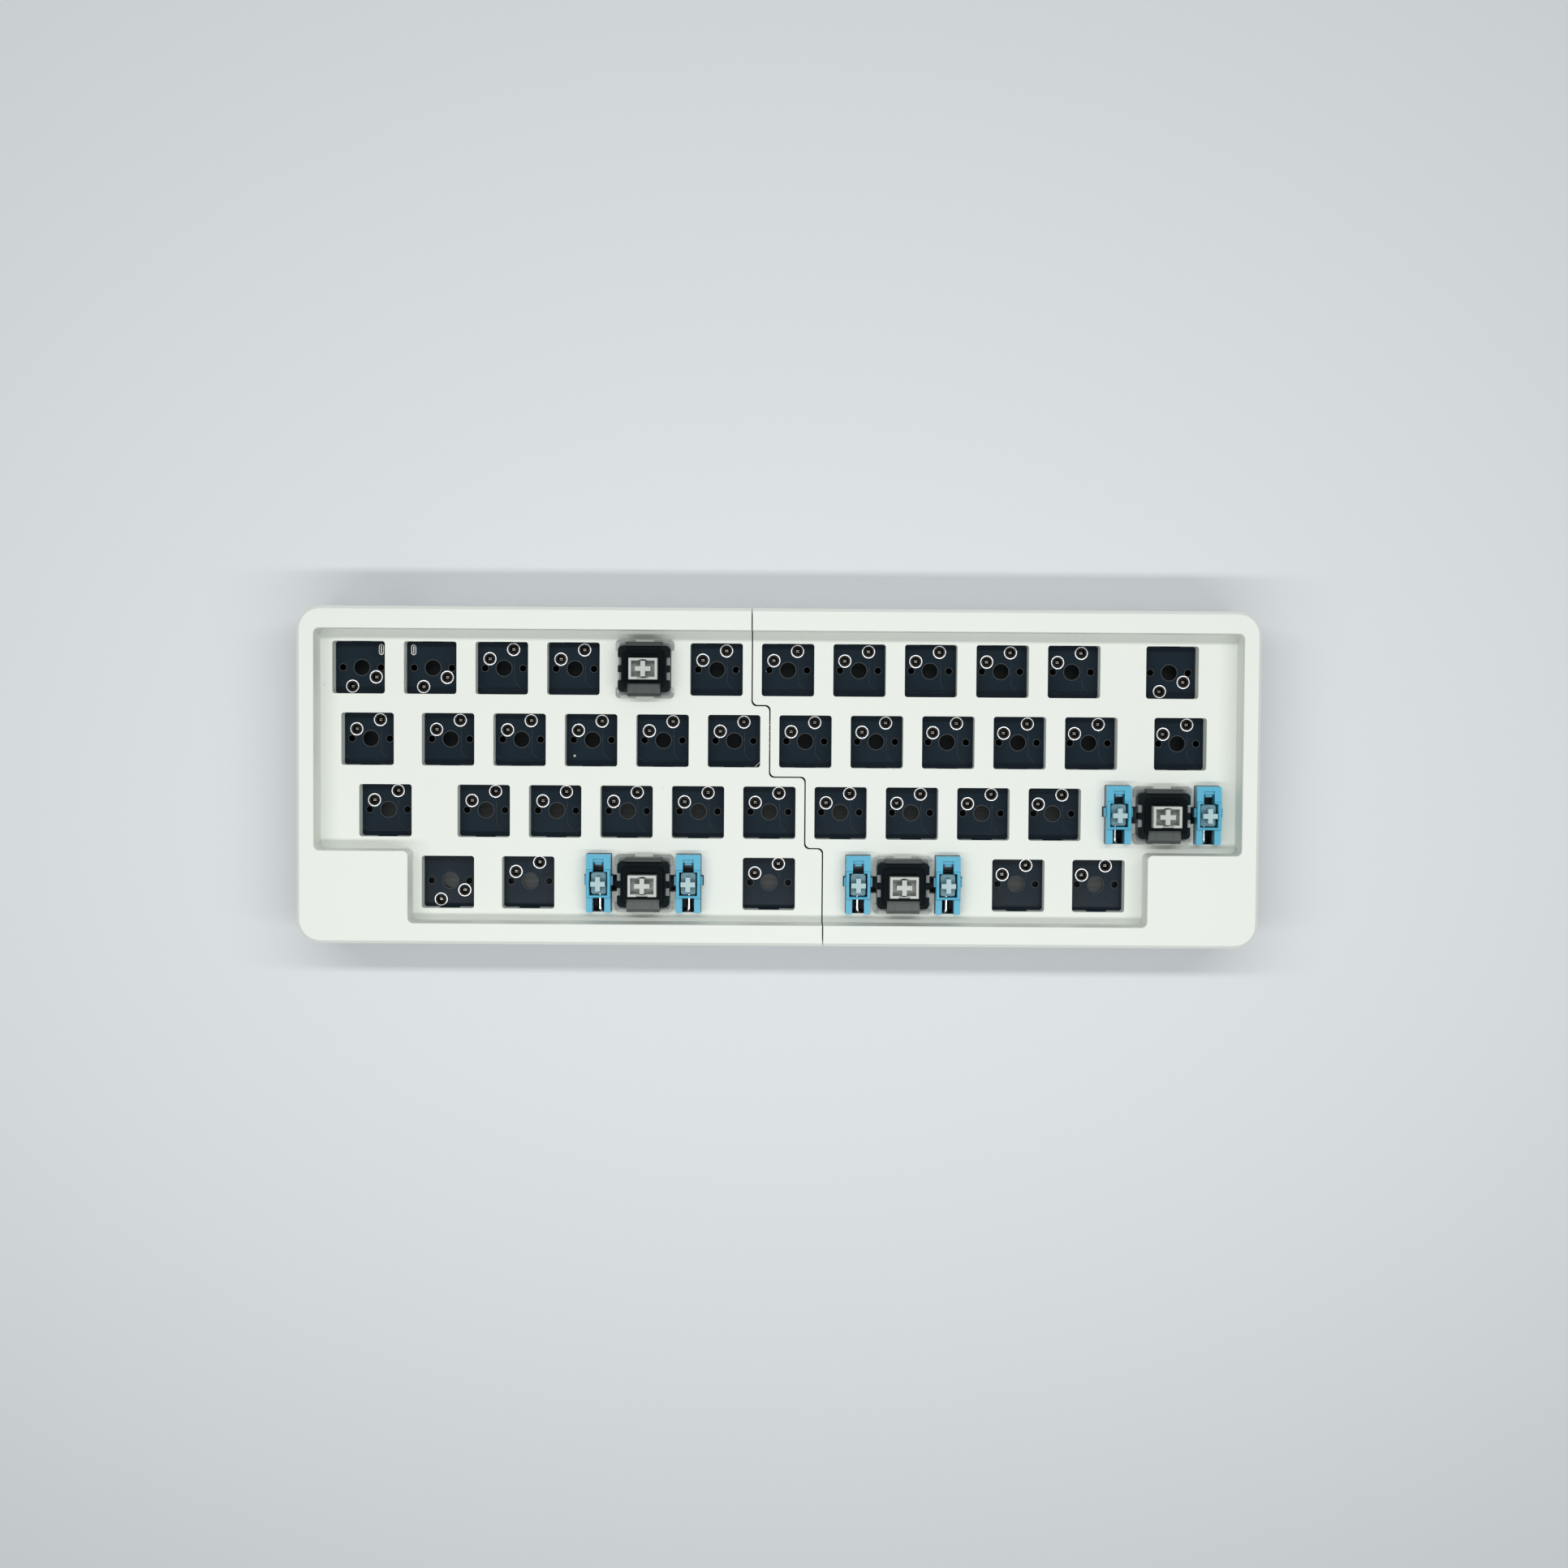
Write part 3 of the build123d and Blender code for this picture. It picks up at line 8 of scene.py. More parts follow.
# %% Load the frame
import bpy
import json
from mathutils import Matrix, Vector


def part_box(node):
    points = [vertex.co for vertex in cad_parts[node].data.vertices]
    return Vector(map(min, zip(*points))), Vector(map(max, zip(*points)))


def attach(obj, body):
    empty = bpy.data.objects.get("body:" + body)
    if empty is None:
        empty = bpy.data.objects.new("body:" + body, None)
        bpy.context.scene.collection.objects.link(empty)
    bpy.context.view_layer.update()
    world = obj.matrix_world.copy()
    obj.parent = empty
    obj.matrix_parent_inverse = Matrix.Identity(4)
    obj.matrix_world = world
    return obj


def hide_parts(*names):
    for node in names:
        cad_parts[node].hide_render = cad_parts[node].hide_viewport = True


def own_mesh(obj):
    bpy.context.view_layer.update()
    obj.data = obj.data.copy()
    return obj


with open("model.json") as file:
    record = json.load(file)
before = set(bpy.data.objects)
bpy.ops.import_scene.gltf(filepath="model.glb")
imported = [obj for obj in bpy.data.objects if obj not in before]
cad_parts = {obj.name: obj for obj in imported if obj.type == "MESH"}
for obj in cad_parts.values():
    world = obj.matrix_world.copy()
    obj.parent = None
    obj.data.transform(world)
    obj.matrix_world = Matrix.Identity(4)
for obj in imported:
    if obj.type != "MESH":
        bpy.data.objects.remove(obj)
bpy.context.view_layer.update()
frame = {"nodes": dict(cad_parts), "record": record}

import json
import math

import bpy
from mathutils import Matrix, Vector

MM = 0.001

# %% [markdown]
# Materials and shapes below are made of wired nodes. They could be wired by hand in the editor,
# but a script can repeat and explain them. Two small helpers keep it readable: one adds a node
# and fills its inputs with numbers or links, and one starts a node group with named sockets.

# %% Helpers for node trees
def add_node(tree, kind, inputs=None, **settings):
    """Adds a node, applies its settings, and fills its inputs with values or links."""
    node = tree.nodes.new(kind)
    for name, value in settings.items():
        setattr(node, name, value)
    for name, value in (inputs or {}).items():
        if isinstance(value, bpy.types.NodeSocket):
            tree.links.new(value, node.inputs[name])
        else:
            node.inputs[name].default_value = value
    return node


def new_group(name, kind, inputs, outputs):
    """Starts a node group and returns it with its input and output ends."""
    group = bpy.data.node_groups.new(name, kind)
    for title, socket_kind, value in inputs:
        socket = group.interface.new_socket(title, in_out="INPUT", socket_type=socket_kind)
        if value is not None:
            socket.default_value = value
    for title, socket_kind in outputs:
        group.interface.new_socket(title, in_out="OUTPUT", socket_type=socket_kind)
    start = group.nodes.new("NodeGroupInput")
    end = group.nodes.new("NodeGroupOutput")
    return group, start.outputs, end.inputs


print("Helpers:", add_node.__name__, "and", new_group.__name__)

# %% [markdown]
# A moulded plastic surface copies the spark-eroded skin of its mould: a fine even grain, and
# over it a slow mottle where the gloss changes a little. It could be painted by hand, but noise
# on Object coordinates has a real size in metres and needs no unwrapping. The grain is a shader
# node group, because many of the finishes below use it with their own sizes.

# %% Grain of a moulded surface
grain_detail = 3.0
mottle_detail = 2.0


def build_grain_group():
    """Fine grain and slow mottle, each from 0 to 1, at sizes given in metres."""
    group, given, result = new_group(
        "Moulded grain",
        "ShaderNodeTree",
        [
            ("Grain Size", "NodeSocketFloat", 0.25 * MM),
            ("Mottle Size", "NodeSocketFloat", 14 * MM),
        ],
        [("Grain", "NodeSocketFloat"), ("Mottle", "NodeSocketFloat")],
    )
    place = add_node(group, "ShaderNodeTexCoord").outputs["Object"]
    for size, title, detail in (
        ("Grain Size", "Grain", grain_detail),
        ("Mottle Size", "Mottle", mottle_detail),
    ):
        steps = add_node(group, "ShaderNodeMath", {0: 1.0, 1: given[size]}, operation="DIVIDE")
        noise = add_node(
            group,
            "ShaderNodeTexNoise",
            {"Vector": place, "Scale": steps.outputs[0], "Detail": detail},
        )
        group.links.new(noise.outputs[0], result[title])
    return group


grain_group = build_grain_group()
print("Built", grain_group.name)

# %% [markdown]
# A desk object that has been handled carries a few stray specks of dust. They could be scattered
# as tiny meshes, but a mask in the material costs no faces. A Voronoi texture splits space into
# cells. The distance from a cell's middle makes a round speck, and the cell's own random colour
# decides which few cells get one.

# %% Stray dust
def build_dust_group():
    """A mask that is 1 on rare small specks."""
    group, given, result = new_group(
        "Stray dust",
        "ShaderNodeTree",
        [
            ("Cell Size", "NodeSocketFloat", 2.2 * MM),
            ("Speck Share", "NodeSocketFloat", 0.07),
            ("Rarity", "NodeSocketFloat", 0.985),
        ],
        [("Mask", "NodeSocketFloat")],
    )
    place = add_node(group, "ShaderNodeTexCoord").outputs["Object"]
    steps = add_node(
        group, "ShaderNodeMath", {0: 1.0, 1: given["Cell Size"]}, operation="DIVIDE"
    )
    cells = add_node(
        group, "ShaderNodeTexVoronoi", {"Vector": place, "Scale": steps.outputs[0]}
    )
    near = add_node(
        group,
        "ShaderNodeMath",
        {0: cells.outputs["Distance"], 1: given["Speck Share"]},
        operation="LESS_THAN",
    )
    parts = add_node(group, "ShaderNodeSeparateColor", {"Color": cells.outputs["Color"]})
    chosen = add_node(
        group,
        "ShaderNodeMath",
        {0: parts.outputs["Red"], 1: given["Rarity"]},
        operation="GREATER_THAN",
    )
    speck = add_node(
        group,
        "ShaderNodeMath",
        {0: near.outputs[0], 1: chosen.outputs[0]},
        operation="MULTIPLY",
    )
    group.links.new(speck.outputs[0], result["Mask"])
    return group


dust_group = build_dust_group()
print("Built", dust_group.name)

# %% [markdown]
# The case is moulded in a pale plastic with a dull, fine skin. This and every other plastic
# finish start the same way: a base colour that the mottle shifts a little, a roughness that it
# shifts too, and the grain as a bump of at most some hundredths of a millimetre. Each could be
# wired on its own, but one function keeps them alike and takes each colour, gloss and grain.

# %% Plastic of the case
def mix_colours(tree, share, first, second):
    """A colour on the way from the first to the second, by a share from 0 to 1."""
    mix = add_node(tree, "ShaderNodeMix", {0: share, 6: first, 7: second}, data_type="RGBA")
    return mix.outputs[2]


def plastic(name, colour, roughness, grain_size=0.25 * MM, grain_depth=0.012 * MM,
            colour_shift=0.04, gloss_shift=0.08, dust=None, shine=0.5):
    """A moulded plastic with grain, mottle and, if a dust colour is given, stray specks."""
    material = bpy.data.materials.new(name)
    material.use_nodes = True
    tree = material.node_tree
    shader = tree.nodes["Principled BSDF"]
    grain = add_node(tree, "ShaderNodeGroup", node_tree=grain_group)
    grain.inputs["Grain Size"].default_value = grain_size
    darker = [channel * (1 - colour_shift) for channel in colour]
    lighter = [min(channel * (1 + colour_shift), 1.0) for channel in colour]
    base = mix_colours(tree, grain.outputs["Mottle"], (*darker, 1.0), (*lighter, 1.0))
    if dust:
        specks = add_node(tree, "ShaderNodeGroup", node_tree=dust_group)
        base = mix_colours(tree, specks.outputs["Mask"], base, (*dust, 1.0))
    tree.links.new(base, shader.inputs["Base Color"])
    gloss = add_node(
        tree,
        "ShaderNodeMapRange",
        {"Value": grain.outputs["Mottle"], "To Min": roughness - gloss_shift,
         "To Max": roughness + gloss_shift},
    )
    tree.links.new(gloss.outputs[0], shader.inputs["Roughness"])
    bump = add_node(
        tree,
        "ShaderNodeBump",
        {"Height": grain.outputs["Grain"], "Distance": grain_depth, "Strength": 1.0},
    )
    tree.links.new(bump.outputs["Normal"], shader.inputs["Normal"])
    shader.inputs["Specular IOR Level"].default_value = shine
    return material


finishes = {
    "case_plastic": plastic(
        "case plastic", (0.730, 0.765, 0.712), 0.52, 0.22 * MM, 0.010 * MM, 0.012,
        dust=(0.35, 0.36, 0.35),
    ),
}
print("First finish:", finishes["case_plastic"].name)

# %% [markdown]
# The other opaque plastics are the cover, the sockets, the chips, the red link strip, the black
# and grey parts of the switches and stabilizers, the white stems, the receptacle's tongue and the
# rubber feet. One finish could be tinted for all of them, but each is moulded with a gloss and
# grain of its own. The blacks get very little shine, because the photograph shows them deep and
# dull from above.

# %% Other opaque plastics
finishes.update({
    "cover_plastic": plastic(
        "cover plastic", (0.715, 0.750, 0.700), 0.58, 0.30 * MM, 0.016 * MM, 0.015,
        dust=(0.40, 0.40, 0.38), shine=0.2,
    ),
    "socket_plastic": plastic("socket plastic", (0.006, 0.006, 0.006), 0.45, shine=0.3),
    "chip_black": plastic("chip resin", (0.014, 0.014, 0.015), 0.50, 0.12 * MM),
    "link_plastic": plastic("link plastic", (0.16, 0.018, 0.012), 0.45),
    "housing_black": plastic(
        "black switch housing", (0.0030, 0.0050, 0.0062), 0.30, 0.10 * MM, 0.003 * MM,
        gloss_shift=0.05, dust=(0.05, 0.05, 0.05), shine=0.04,
    ),
    "stabilizer_stem_grey": plastic(
        "grey stabilizer stem", (0.36, 0.51, 0.53), 0.35, 0.12 * MM, 0.004 * MM
    ),
    "window_smoke": plastic(
        "smoky window", (0.072, 0.086, 0.082), 0.30, 0.15 * MM, 0.003 * MM, shine=0.3
    ),
    "stem_white": plastic(
        "white switch stem", (0.475, 0.505, 0.475), 0.30, 0.10 * MM, 0.003 * MM, 0.01
    ),
    "port_plastic": plastic("receptacle tongue", (0.015, 0.015, 0.016), 0.40),
    "foot_rubber": plastic(
        "foot rubber", (0.030, 0.030, 0.031), 0.85, 0.35 * MM, 0.030 * MM, 0.10,
        dust=(0.25, 0.24, 0.22),
    ),
})
print("Plastic finishes:", len(finishes))

# %% [markdown]
# The lower housings of the switches are clear and the stabilizers are a translucent blue. Real
# glass shading is slow to settle and its shadows turn black, so the thin clear flange uses a
# part-clear surface instead: the plate shows through it and its edges stay faintly grey. The
# blue stabilizers scatter a little light under their skin, which subsurface scattering gives.

# %% Clear and translucent finishes
def clear_plastic(name, colour, roughness, alpha):
    """A part-clear moulded plastic."""
    material = plastic(name, colour, roughness, 0.15 * MM, 0.002 * MM, 0.02, 0.04)
    shader = material.node_tree.nodes["Principled BSDF"]
    shader.inputs["Alpha"].default_value = alpha
    return material


def glowing_plastic(name, colour, roughness, glow_weight, glow_depth):
    """A translucent plastic that scatters light under its skin."""
    material = plastic(name, colour, roughness, 0.15 * MM, 0.004 * MM, 0.03, 0.05)
    shader = material.node_tree.nodes["Principled BSDF"]
    shader.inputs["Subsurface Weight"].default_value = glow_weight
    shader.inputs["Subsurface Radius"].default_value = (0.4, 0.8, 1.0)
    shader.inputs["Subsurface Scale"].default_value = glow_depth
    return material


finishes["housing_clear"] = clear_plastic("clear housing", (0.70, 0.74, 0.72), 0.12, 0.34)
finishes["stabilizer_blue"] = glowing_plastic(
    "blue stabilizer", (0.070, 0.390, 0.560), 0.32, 0.20, 0.6 * MM
)
print("With clear and translucent finishes:", len(finishes))

# %% [markdown]
# Metal parts have no mottle but fine lines from drawing, rolling or turning. Each line could be
# modelled, but they are far too fine for a mesh. Noise that is stretched along one axis makes
# such lines in the gloss and in a very flat bump.

# %% Lines worked into metal
LINES_ALONG_X = (400.0, 6000.0, 6000.0)
line_detail = 2.0


def build_line_group():
    """Fine lines from 0 to 1, long on the axis that has the fewest steps per metre."""
    group, given, result = new_group(
        "Worked lines",
        "ShaderNodeTree",
        [("Stretch", "NodeSocketVector", LINES_ALONG_X)],
        [("Lines", "NodeSocketFloat")],
    )
    place = add_node(group, "ShaderNodeTexCoord").outputs["Object"]
    across = add_node(
        group, "ShaderNodeVectorMath", {0: place, 1: given["Stretch"]}, operation="MULTIPLY"
    )
    noise = add_node(
        group,
        "ShaderNodeTexNoise",
        {"Vector": across.outputs[0], "Scale": 1.0, "Detail": line_detail},
    )
    group.links.new(noise.outputs[0], result["Lines"])
    return group


line_group = build_line_group()
print("Built", line_group.name)

# %% [markdown]
# The metals are the plated contacts, the link's pins and pads, the magnets, screws, inserts and
# springs, the stabilizer wires and the shell of the cable receptacle. Lines could follow each
# surface by its own unwrapping, but these parts are small, so each chooses one axis: the screws
# and inserts their own upright one, the shell its depth, and the others the long way of the wires.

# %% Metal finishes
LINES_ALONG_Y = (6000.0, 400.0, 6000.0)
LINES_ALONG_Z = (6000.0, 6000.0, 400.0)
dull_share = 0.85
gloss_spread = 0.3


def metal(name, colour, roughness, stretch=LINES_ALONG_X, line_depth=0.002 * MM):
    """A bare or plated metal with fine lines in its gloss."""
    material = bpy.data.materials.new(name)
    material.use_nodes = True
    tree = material.node_tree
    shader = tree.nodes["Principled BSDF"]
    shader.inputs["Metallic"].default_value = 1.0
    lines = add_node(tree, "ShaderNodeGroup", node_tree=line_group)
    lines.inputs["Stretch"].default_value = stretch
    dull = [channel * dull_share for channel in colour]
    base = mix_colours(tree, lines.outputs["Lines"], (*dull, 1.0), (*colour, 1.0))
    tree.links.new(base, shader.inputs["Base Color"])
    gloss = add_node(
        tree,
        "ShaderNodeMapRange",
        {"Value": lines.outputs["Lines"], "To Min": roughness * (1 - gloss_spread),
         "To Max": roughness * (1 + gloss_spread)},
    )
    tree.links.new(gloss.outputs[0], shader.inputs["Roughness"])
    bump = add_node(
        tree, "ShaderNodeBump", {"Height": lines.outputs["Lines"], "Distance": line_depth}
    )
    tree.links.new(bump.outputs["Normal"], shader.inputs["Normal"])
    return material


finishes.update({
    "contact_metal": metal("plated contact", (0.60, 0.58, 0.50), 0.30),
    "link_brass": metal("link contact", (0.83, 0.64, 0.36), 0.25),
    "magnet_nickel": metal("magnet plating", (0.66, 0.65, 0.62), 0.22),
    "screw_steel": metal("screw zinc", (0.60, 0.60, 0.59), 0.35, LINES_ALONG_Z),
    "insert_brass": metal("turned brass", (0.78, 0.58, 0.28), 0.30, LINES_ALONG_Z),
    "spring_steel": metal("spring wire", (0.62, 0.61, 0.59), 0.25),
    "wire_steel": metal("bright wire", (0.78, 0.78, 0.77), 0.18),
    "port_steel": metal("receptacle shell", (0.70, 0.70, 0.69), 0.26, LINES_ALONG_Y),
})
print("With metal finishes:", len(finishes))

# %% [markdown]
# The circuit boards are glass laminate under a dark blue solder mask. The mask is a thin smooth
# lacquer over a faint weave. A coat over a rough base would show it too, but from above the
# finish looks the same as a plastic with a very flat bump and little shine, which is simpler.

# %% Solder mask
finishes["board_laminate"] = plastic(
    "solder mask", (0.0080, 0.0165, 0.0250), 0.22, 0.5 * MM, 0.002 * MM, 0.10, 0.05,
    dust=(0.10, 0.11, 0.11), shine=0.12,
)
print("With the solder mask:", len(finishes))

# %% [markdown]
# Some finishes get painted shade or a painted reflection by place. Little light reaches the
# floor of a stem's pocket or the foot of a contact, so these are painted darker as shade, and the
# flanks of the black housings get a painted reflection of the pale plate, which makes them a
# little greyer than their tops. Such places could be split off as pieces, but the place along an
# axis, read from Object coordinates, tells them apart and moves with the part. A small group
# turns it into a share between two places.

# %% Share of the way along an axis
UP = (0.0, 0.0, 1.0)
REAR = (0.0, 1.0, 0.0)


def build_share_group():
    """The share, from 0 to 1, of the way from a tinted place to a plain one along an axis."""
    group, given, result = new_group(
        "Share along an axis",
        "ShaderNodeTree",
        [
            ("Axis", "NodeSocketVector", UP),
            ("Tinted Place", "NodeSocketFloat", 0.0),
            ("Plain Place", "NodeSocketFloat", 1 * MM),
        ],
        [("Share", "NodeSocketFloat")],
    )
    place = add_node(group, "ShaderNodeTexCoord").outputs["Object"]
    along = add_node(
        group, "ShaderNodeVectorMath", {0: place, 1: given["Axis"]}, operation="DOT_PRODUCT"
    )
    share = add_node(
        group,
        "ShaderNodeMapRange",
        {
            "Value": along.outputs["Value"],
            "From Min": given["Tinted Place"],
            "From Max": given["Plain Place"],
        },
    )
    group.links.new(share.outputs[0], result["Share"])
    return group


share_group = build_share_group()
print("Built", share_group.name)

# %% [markdown]
# Two functions use the share: one mixes two colours along an axis, and one puts such a mix into
# a finish that is already there, by the height. A colour ramp in each material would do the same,
# but a table shows all depths at a glance. It gives, for each finish, the part from whose top
# they are measured, the depth with the full tint, the depth where the plain colour ends, and the
# tint. Each tint is painted shade, darker towards the bottom of the stems, the stabilizers and
# the smoky windows, except on the black housings, where it is a painted reflection that makes
# their flanks lighter. The contacts are measured from their foot, which gets painted shade.

# %% Painted shade and reflection by height
def blend_along(tree, axis, tinted_place, plain_place, tinted, plain):
    """A colour that goes from a tinted one to a plain one along an axis."""
    share = add_node(tree, "ShaderNodeGroup", node_tree=share_group)
    share.inputs["Axis"].default_value = axis
    share.inputs["Tinted Place"].default_value = tinted_place
    share.inputs["Plain Place"].default_value = plain_place
    return mix_colours(tree, share.outputs[0], tinted, plain)


def tint(slot, tinted_height, plain_height, tinted):
    """Blends a finish's base colour into a painted shade or reflection colour on the way to the
    tinted height.
    """
    tree = finishes[slot].node_tree
    base = tree.nodes["Principled BSDF"].inputs["Base Color"]
    plain = base.links[0].from_socket
    mixed = blend_along(tree, UP, tinted_height, plain_height, tinted, plain)
    tree.links.new(mixed, base)


# Painted shade low in the stem pockets, on the stabilizers and in the smoky windows, and a painted
# reflection on the flanks of the black housings.
painted_shade_and_reflection = (
    ("stem_white", "upper_left_switch_stem", 3.8 * MM, 0.8 * MM, (0.39, 0.405, 0.39)),
    ("stabilizer_stem_grey", "lower_left_stabilizer_stem_left", 3.5 * MM, 1.0 * MM,
     (0.13, 0.28, 0.335)),
    ("stabilizer_blue", "left_stabilizer_housings", 6.0 * MM, 1.0 * MM, (0.005, 0.030, 0.055)),
    ("window_smoke", "left_switch_light_windows", 0.45 * MM, 0.25 * MM, (0.038, 0.046, 0.044)),
    ("housing_black", "left_switch_upper_housings", 1.2 * MM, 0.3 * MM, (0.010, 0.015, 0.017)),
)
for slot, node, tinted_depth, plain_depth, colour in painted_shade_and_reflection:
    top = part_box(node)[1][2]
    tint(slot, top - tinted_depth, top - plain_depth, (*colour, 1.0))
# The foot of each contact is painted darker as shade.
contact_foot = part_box("left_socket_contacts")[0][2]
contact_painted_shade_below = contact_foot + 0.4 * MM
contact_plain_above = contact_foot + 2.0 * MM
tint("contact_metal", contact_painted_shade_below, contact_plain_above, (0.02, 0.02, 0.02, 1.0))
print("Finishes tinted by height:", len(painted_shade_and_reflection) + 1)

# %% [markdown]
# The inside of the cover is dull and seen only through the post holes. No lamp reaches it below
# the rear rows, and more light falls in towards the front. Real shade alone leaves it too light,
# so its floor gets painted shade: a colour that runs from dark to pale along the depth of the
# case.

# %% Painted shade inside the cover
# Painted shade on the inside floor of the cover, dark below the rear rows and pale towards the
# front.
dark_until_y = -4 * MM
pale_from_y = -29 * MM
painted_shade_dark = (0.004, 0.006, 0.007, 1.0)
painted_shade_pale = (0.225, 0.245, 0.240, 1.0)
cover_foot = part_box("left_bottom_cover")[0][2]
inside_from_height = cover_foot + 2.39 * MM
outside_to_height = cover_foot + 2.2 * MM
inside_painted_shade = blend_along(
    finishes["cover_plastic"].node_tree, REAR, dark_until_y, pale_from_y,
    painted_shade_dark, painted_shade_pale,
)
tint("cover_plastic", inside_from_height, outside_to_height, inside_painted_shade)
print("Inside of the cover starts at:", round(inside_from_height / MM, 2), "mm")

# %% [markdown]
# Each CAD node could be given its material by hand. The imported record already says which
# material slot each node uses, so one loop gives every node its finish.

# %% Dress the CAD nodes
slot_of = {entry["node"]: entry["material_slot"] for entry in frame["record"]["subparts"]}
for node, piece in frame["nodes"].items():
    for slot in piece.material_slots:
        slot.material = finishes[slot_of[node]]
print("Dressed nodes:", len(slot_of))

# %% [markdown]
# The sockets stand on a regular key field: the pitch is 19.05 mm, and the rows are shifted
# against each other by shares of it. The places could be read off the CAD parts one by one, but
# the few shares that lay out the real circuit board place everything that is printed or plated
# on it.

# %% Key field
key_pitch = 19.05 * MM
field_width_share = 12.75
key_shares = {
    "left": (
        (0.5, 1.5, 2.5, 3.5, 4.5, 5.5),
        (0.625, 1.75, 2.75, 3.75, 4.75, 5.75),
        (0.875, 2.25, 3.25, 4.25, 5.25, 6.25),
        (1.75, 2.875, 4.5, 6.25),
    ),
    "right": (
        (6.5, 7.5, 8.5, 9.5, 10.5, 11.875),
        (6.75, 7.75, 8.75, 9.75, 10.75, 12.0),
        (7.25, 8.25, 9.25, 10.25, 11.75),
        (8.125, 9.75, 10.875),
    ),
}
turned_key_shares = ((0.5, 1.5, 11.875), (), (), (1.75,))
first_row_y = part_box("left_circuit_board")[1][1] - key_pitch / 2
board_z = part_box("left_circuit_board")[1][2]


def key_place(row, share):
    """Middle of a key place on the board's top."""
    x = (share - field_width_share / 2) * key_pitch
    return Vector((x, first_row_y - row * key_pitch, board_z))


def keys_of(half):
    """Each key place of one half, with -1 for a key that is turned to face the front."""
    for row, shares in enumerate(key_shares[half]):
        for share in shares:
            yield key_place(row, share), -1 if share in turned_key_shares[row] else 1


print("Key places:", sum(1 for half in key_shares for key in keys_of(half)))

# %% [markdown]
# Every contact hole has a bright plated land round it, and the bare guide holes and post holes
# have a thin dull rim where the solder mask stops. Each could be a torus set by hand. They
# differ only in size, finish and place, so one Geometry Nodes tree makes them all: a circle is
# swept with a small rounded profile and set on each point of a mesh that holds only the hole
# centres. Every tree ends in the same two steps, which make its copies real and give them their
# finish, so a helper adds them.

# %% Tree that sets a ring on each hole
ring_steps = 40
ring_corner_share = 0.4
ring_corner_steps = 2


def end_tree(tree, shape, finish, output):
    """Ends a tree: its instances become real faces, and these get their finish."""
    solid = add_node(tree, "GeometryNodeRealizeInstances", {0: shape})
    finished = add_node(
        tree, "GeometryNodeSetMaterial", {"Geometry": solid.outputs[0], "Material": finish}
    )
    tree.links.new(finished.outputs[0], output)


def build_ring_tree():
    """Rings of a named radius, width and height on the points of a mesh."""
    tree, given, result = new_group(
        "Ring on each hole",
        "GeometryNodeTree",
        [
            ("Holes", "NodeSocketGeometry", None),
            ("Inner Radius", "NodeSocketFloat", 1.5 * MM),
            ("Ring Width", "NodeSocketFloat", 0.4 * MM),
            ("Ring Height", "NodeSocketFloat", 0.04 * MM),
            ("Finish", "NodeSocketMaterial", None),
        ],
        [("Rings", "NodeSocketGeometry")],
    )
    middle = add_node(
        tree,
        "ShaderNodeMath",
        {0: given["Ring Width"], 1: 0.5, 2: given["Inner Radius"]},
        operation="MULTIPLY_ADD",
    )
    circle = add_node(
        tree,
        "GeometryNodeCurvePrimitiveCircle",
        {"Resolution": ring_steps, "Radius": middle.outputs[0]},
    )
    profile = add_node(
        tree,
        "GeometryNodeCurvePrimitiveQuadrilateral",
        {"Width": given["Ring Width"], "Height": given["Ring Height"]},
    )
    corner = add_node(
        tree,
        "ShaderNodeMath",
        {0: given["Ring Height"], 1: ring_corner_share},
        operation="MULTIPLY",
    )
    rounded = add_node(
        tree,
        "GeometryNodeFilletCurve",
        {"Curve": profile.outputs[0], "Radius": corner.outputs[0], "Count": ring_corner_steps},
        mode="POLY",
    )
    ring = add_node(
        tree,
        "GeometryNodeCurveToMesh",
        {"Curve": circle.outputs[0], "Profile Curve": rounded.outputs[0]},
    )
    placed = add_node(
        tree,
        "GeometryNodeInstanceOnPoints",
        {"Points": given["Holes"], "Instance": ring.outputs[0]},
    )
    end_tree(tree, placed.outputs[0], given["Finish"], result["Rings"])
    return tree


ring_tree = build_ring_tree()
print("Built", ring_tree.name)

# %% [markdown]
# A tree works on a modifier, but the finished piece must be a plain mesh at the origin. This
# helper builds a small mesh of points or edges, runs a tree on it with named sizes, and keeps
# the evaluated result. Applying the modifier by hand would do the same for a single piece.

# %% Helper that runs a tree
def grow(name, tree, points, edges, **inputs):
    """Runs a Geometry Nodes tree on a small mesh and returns the result as a plain piece."""
    seed_mesh = bpy.data.meshes.new(f"{name} seeds")
    seed_mesh.from_pydata([tuple(point) for point in points], edges, [])
    seed = bpy.data.objects.new(f"{name}_seeds", seed_mesh)
    bpy.context.scene.collection.objects.link(seed)
    modifier = seed.modifiers.new("Grow", "NODES")
    modifier.node_group = tree
    for item in tree.interface.items_tree:
        title = item.name.replace(" ", "_").lower()
        if item.in_out == "INPUT" and title in inputs:
            modifier[item.identifier] = inputs[title]
    evaluated = seed.evaluated_get(bpy.context.evaluated_depsgraph_get())
    grown = bpy.data.meshes.new_from_object(evaluated)
    bpy.data.objects.remove(seed)
    piece = bpy.data.objects.new(name, grown)
    bpy.context.scene.collection.objects.link(piece)
    print(name, "faces:", len(grown.polygons))
    return piece


print("Ready to grow pieces from", ring_tree.name)

# %% [markdown]
# The lands are tinned copper. A pale grey would look much the same from above, but their rims
# mirror the lamps from every side, so they get a metal finish. The dull rims are bare laminate,
# only a little lighter than the mask. Each half gets one piece of each kind, because a piece must
# ride on a single body.

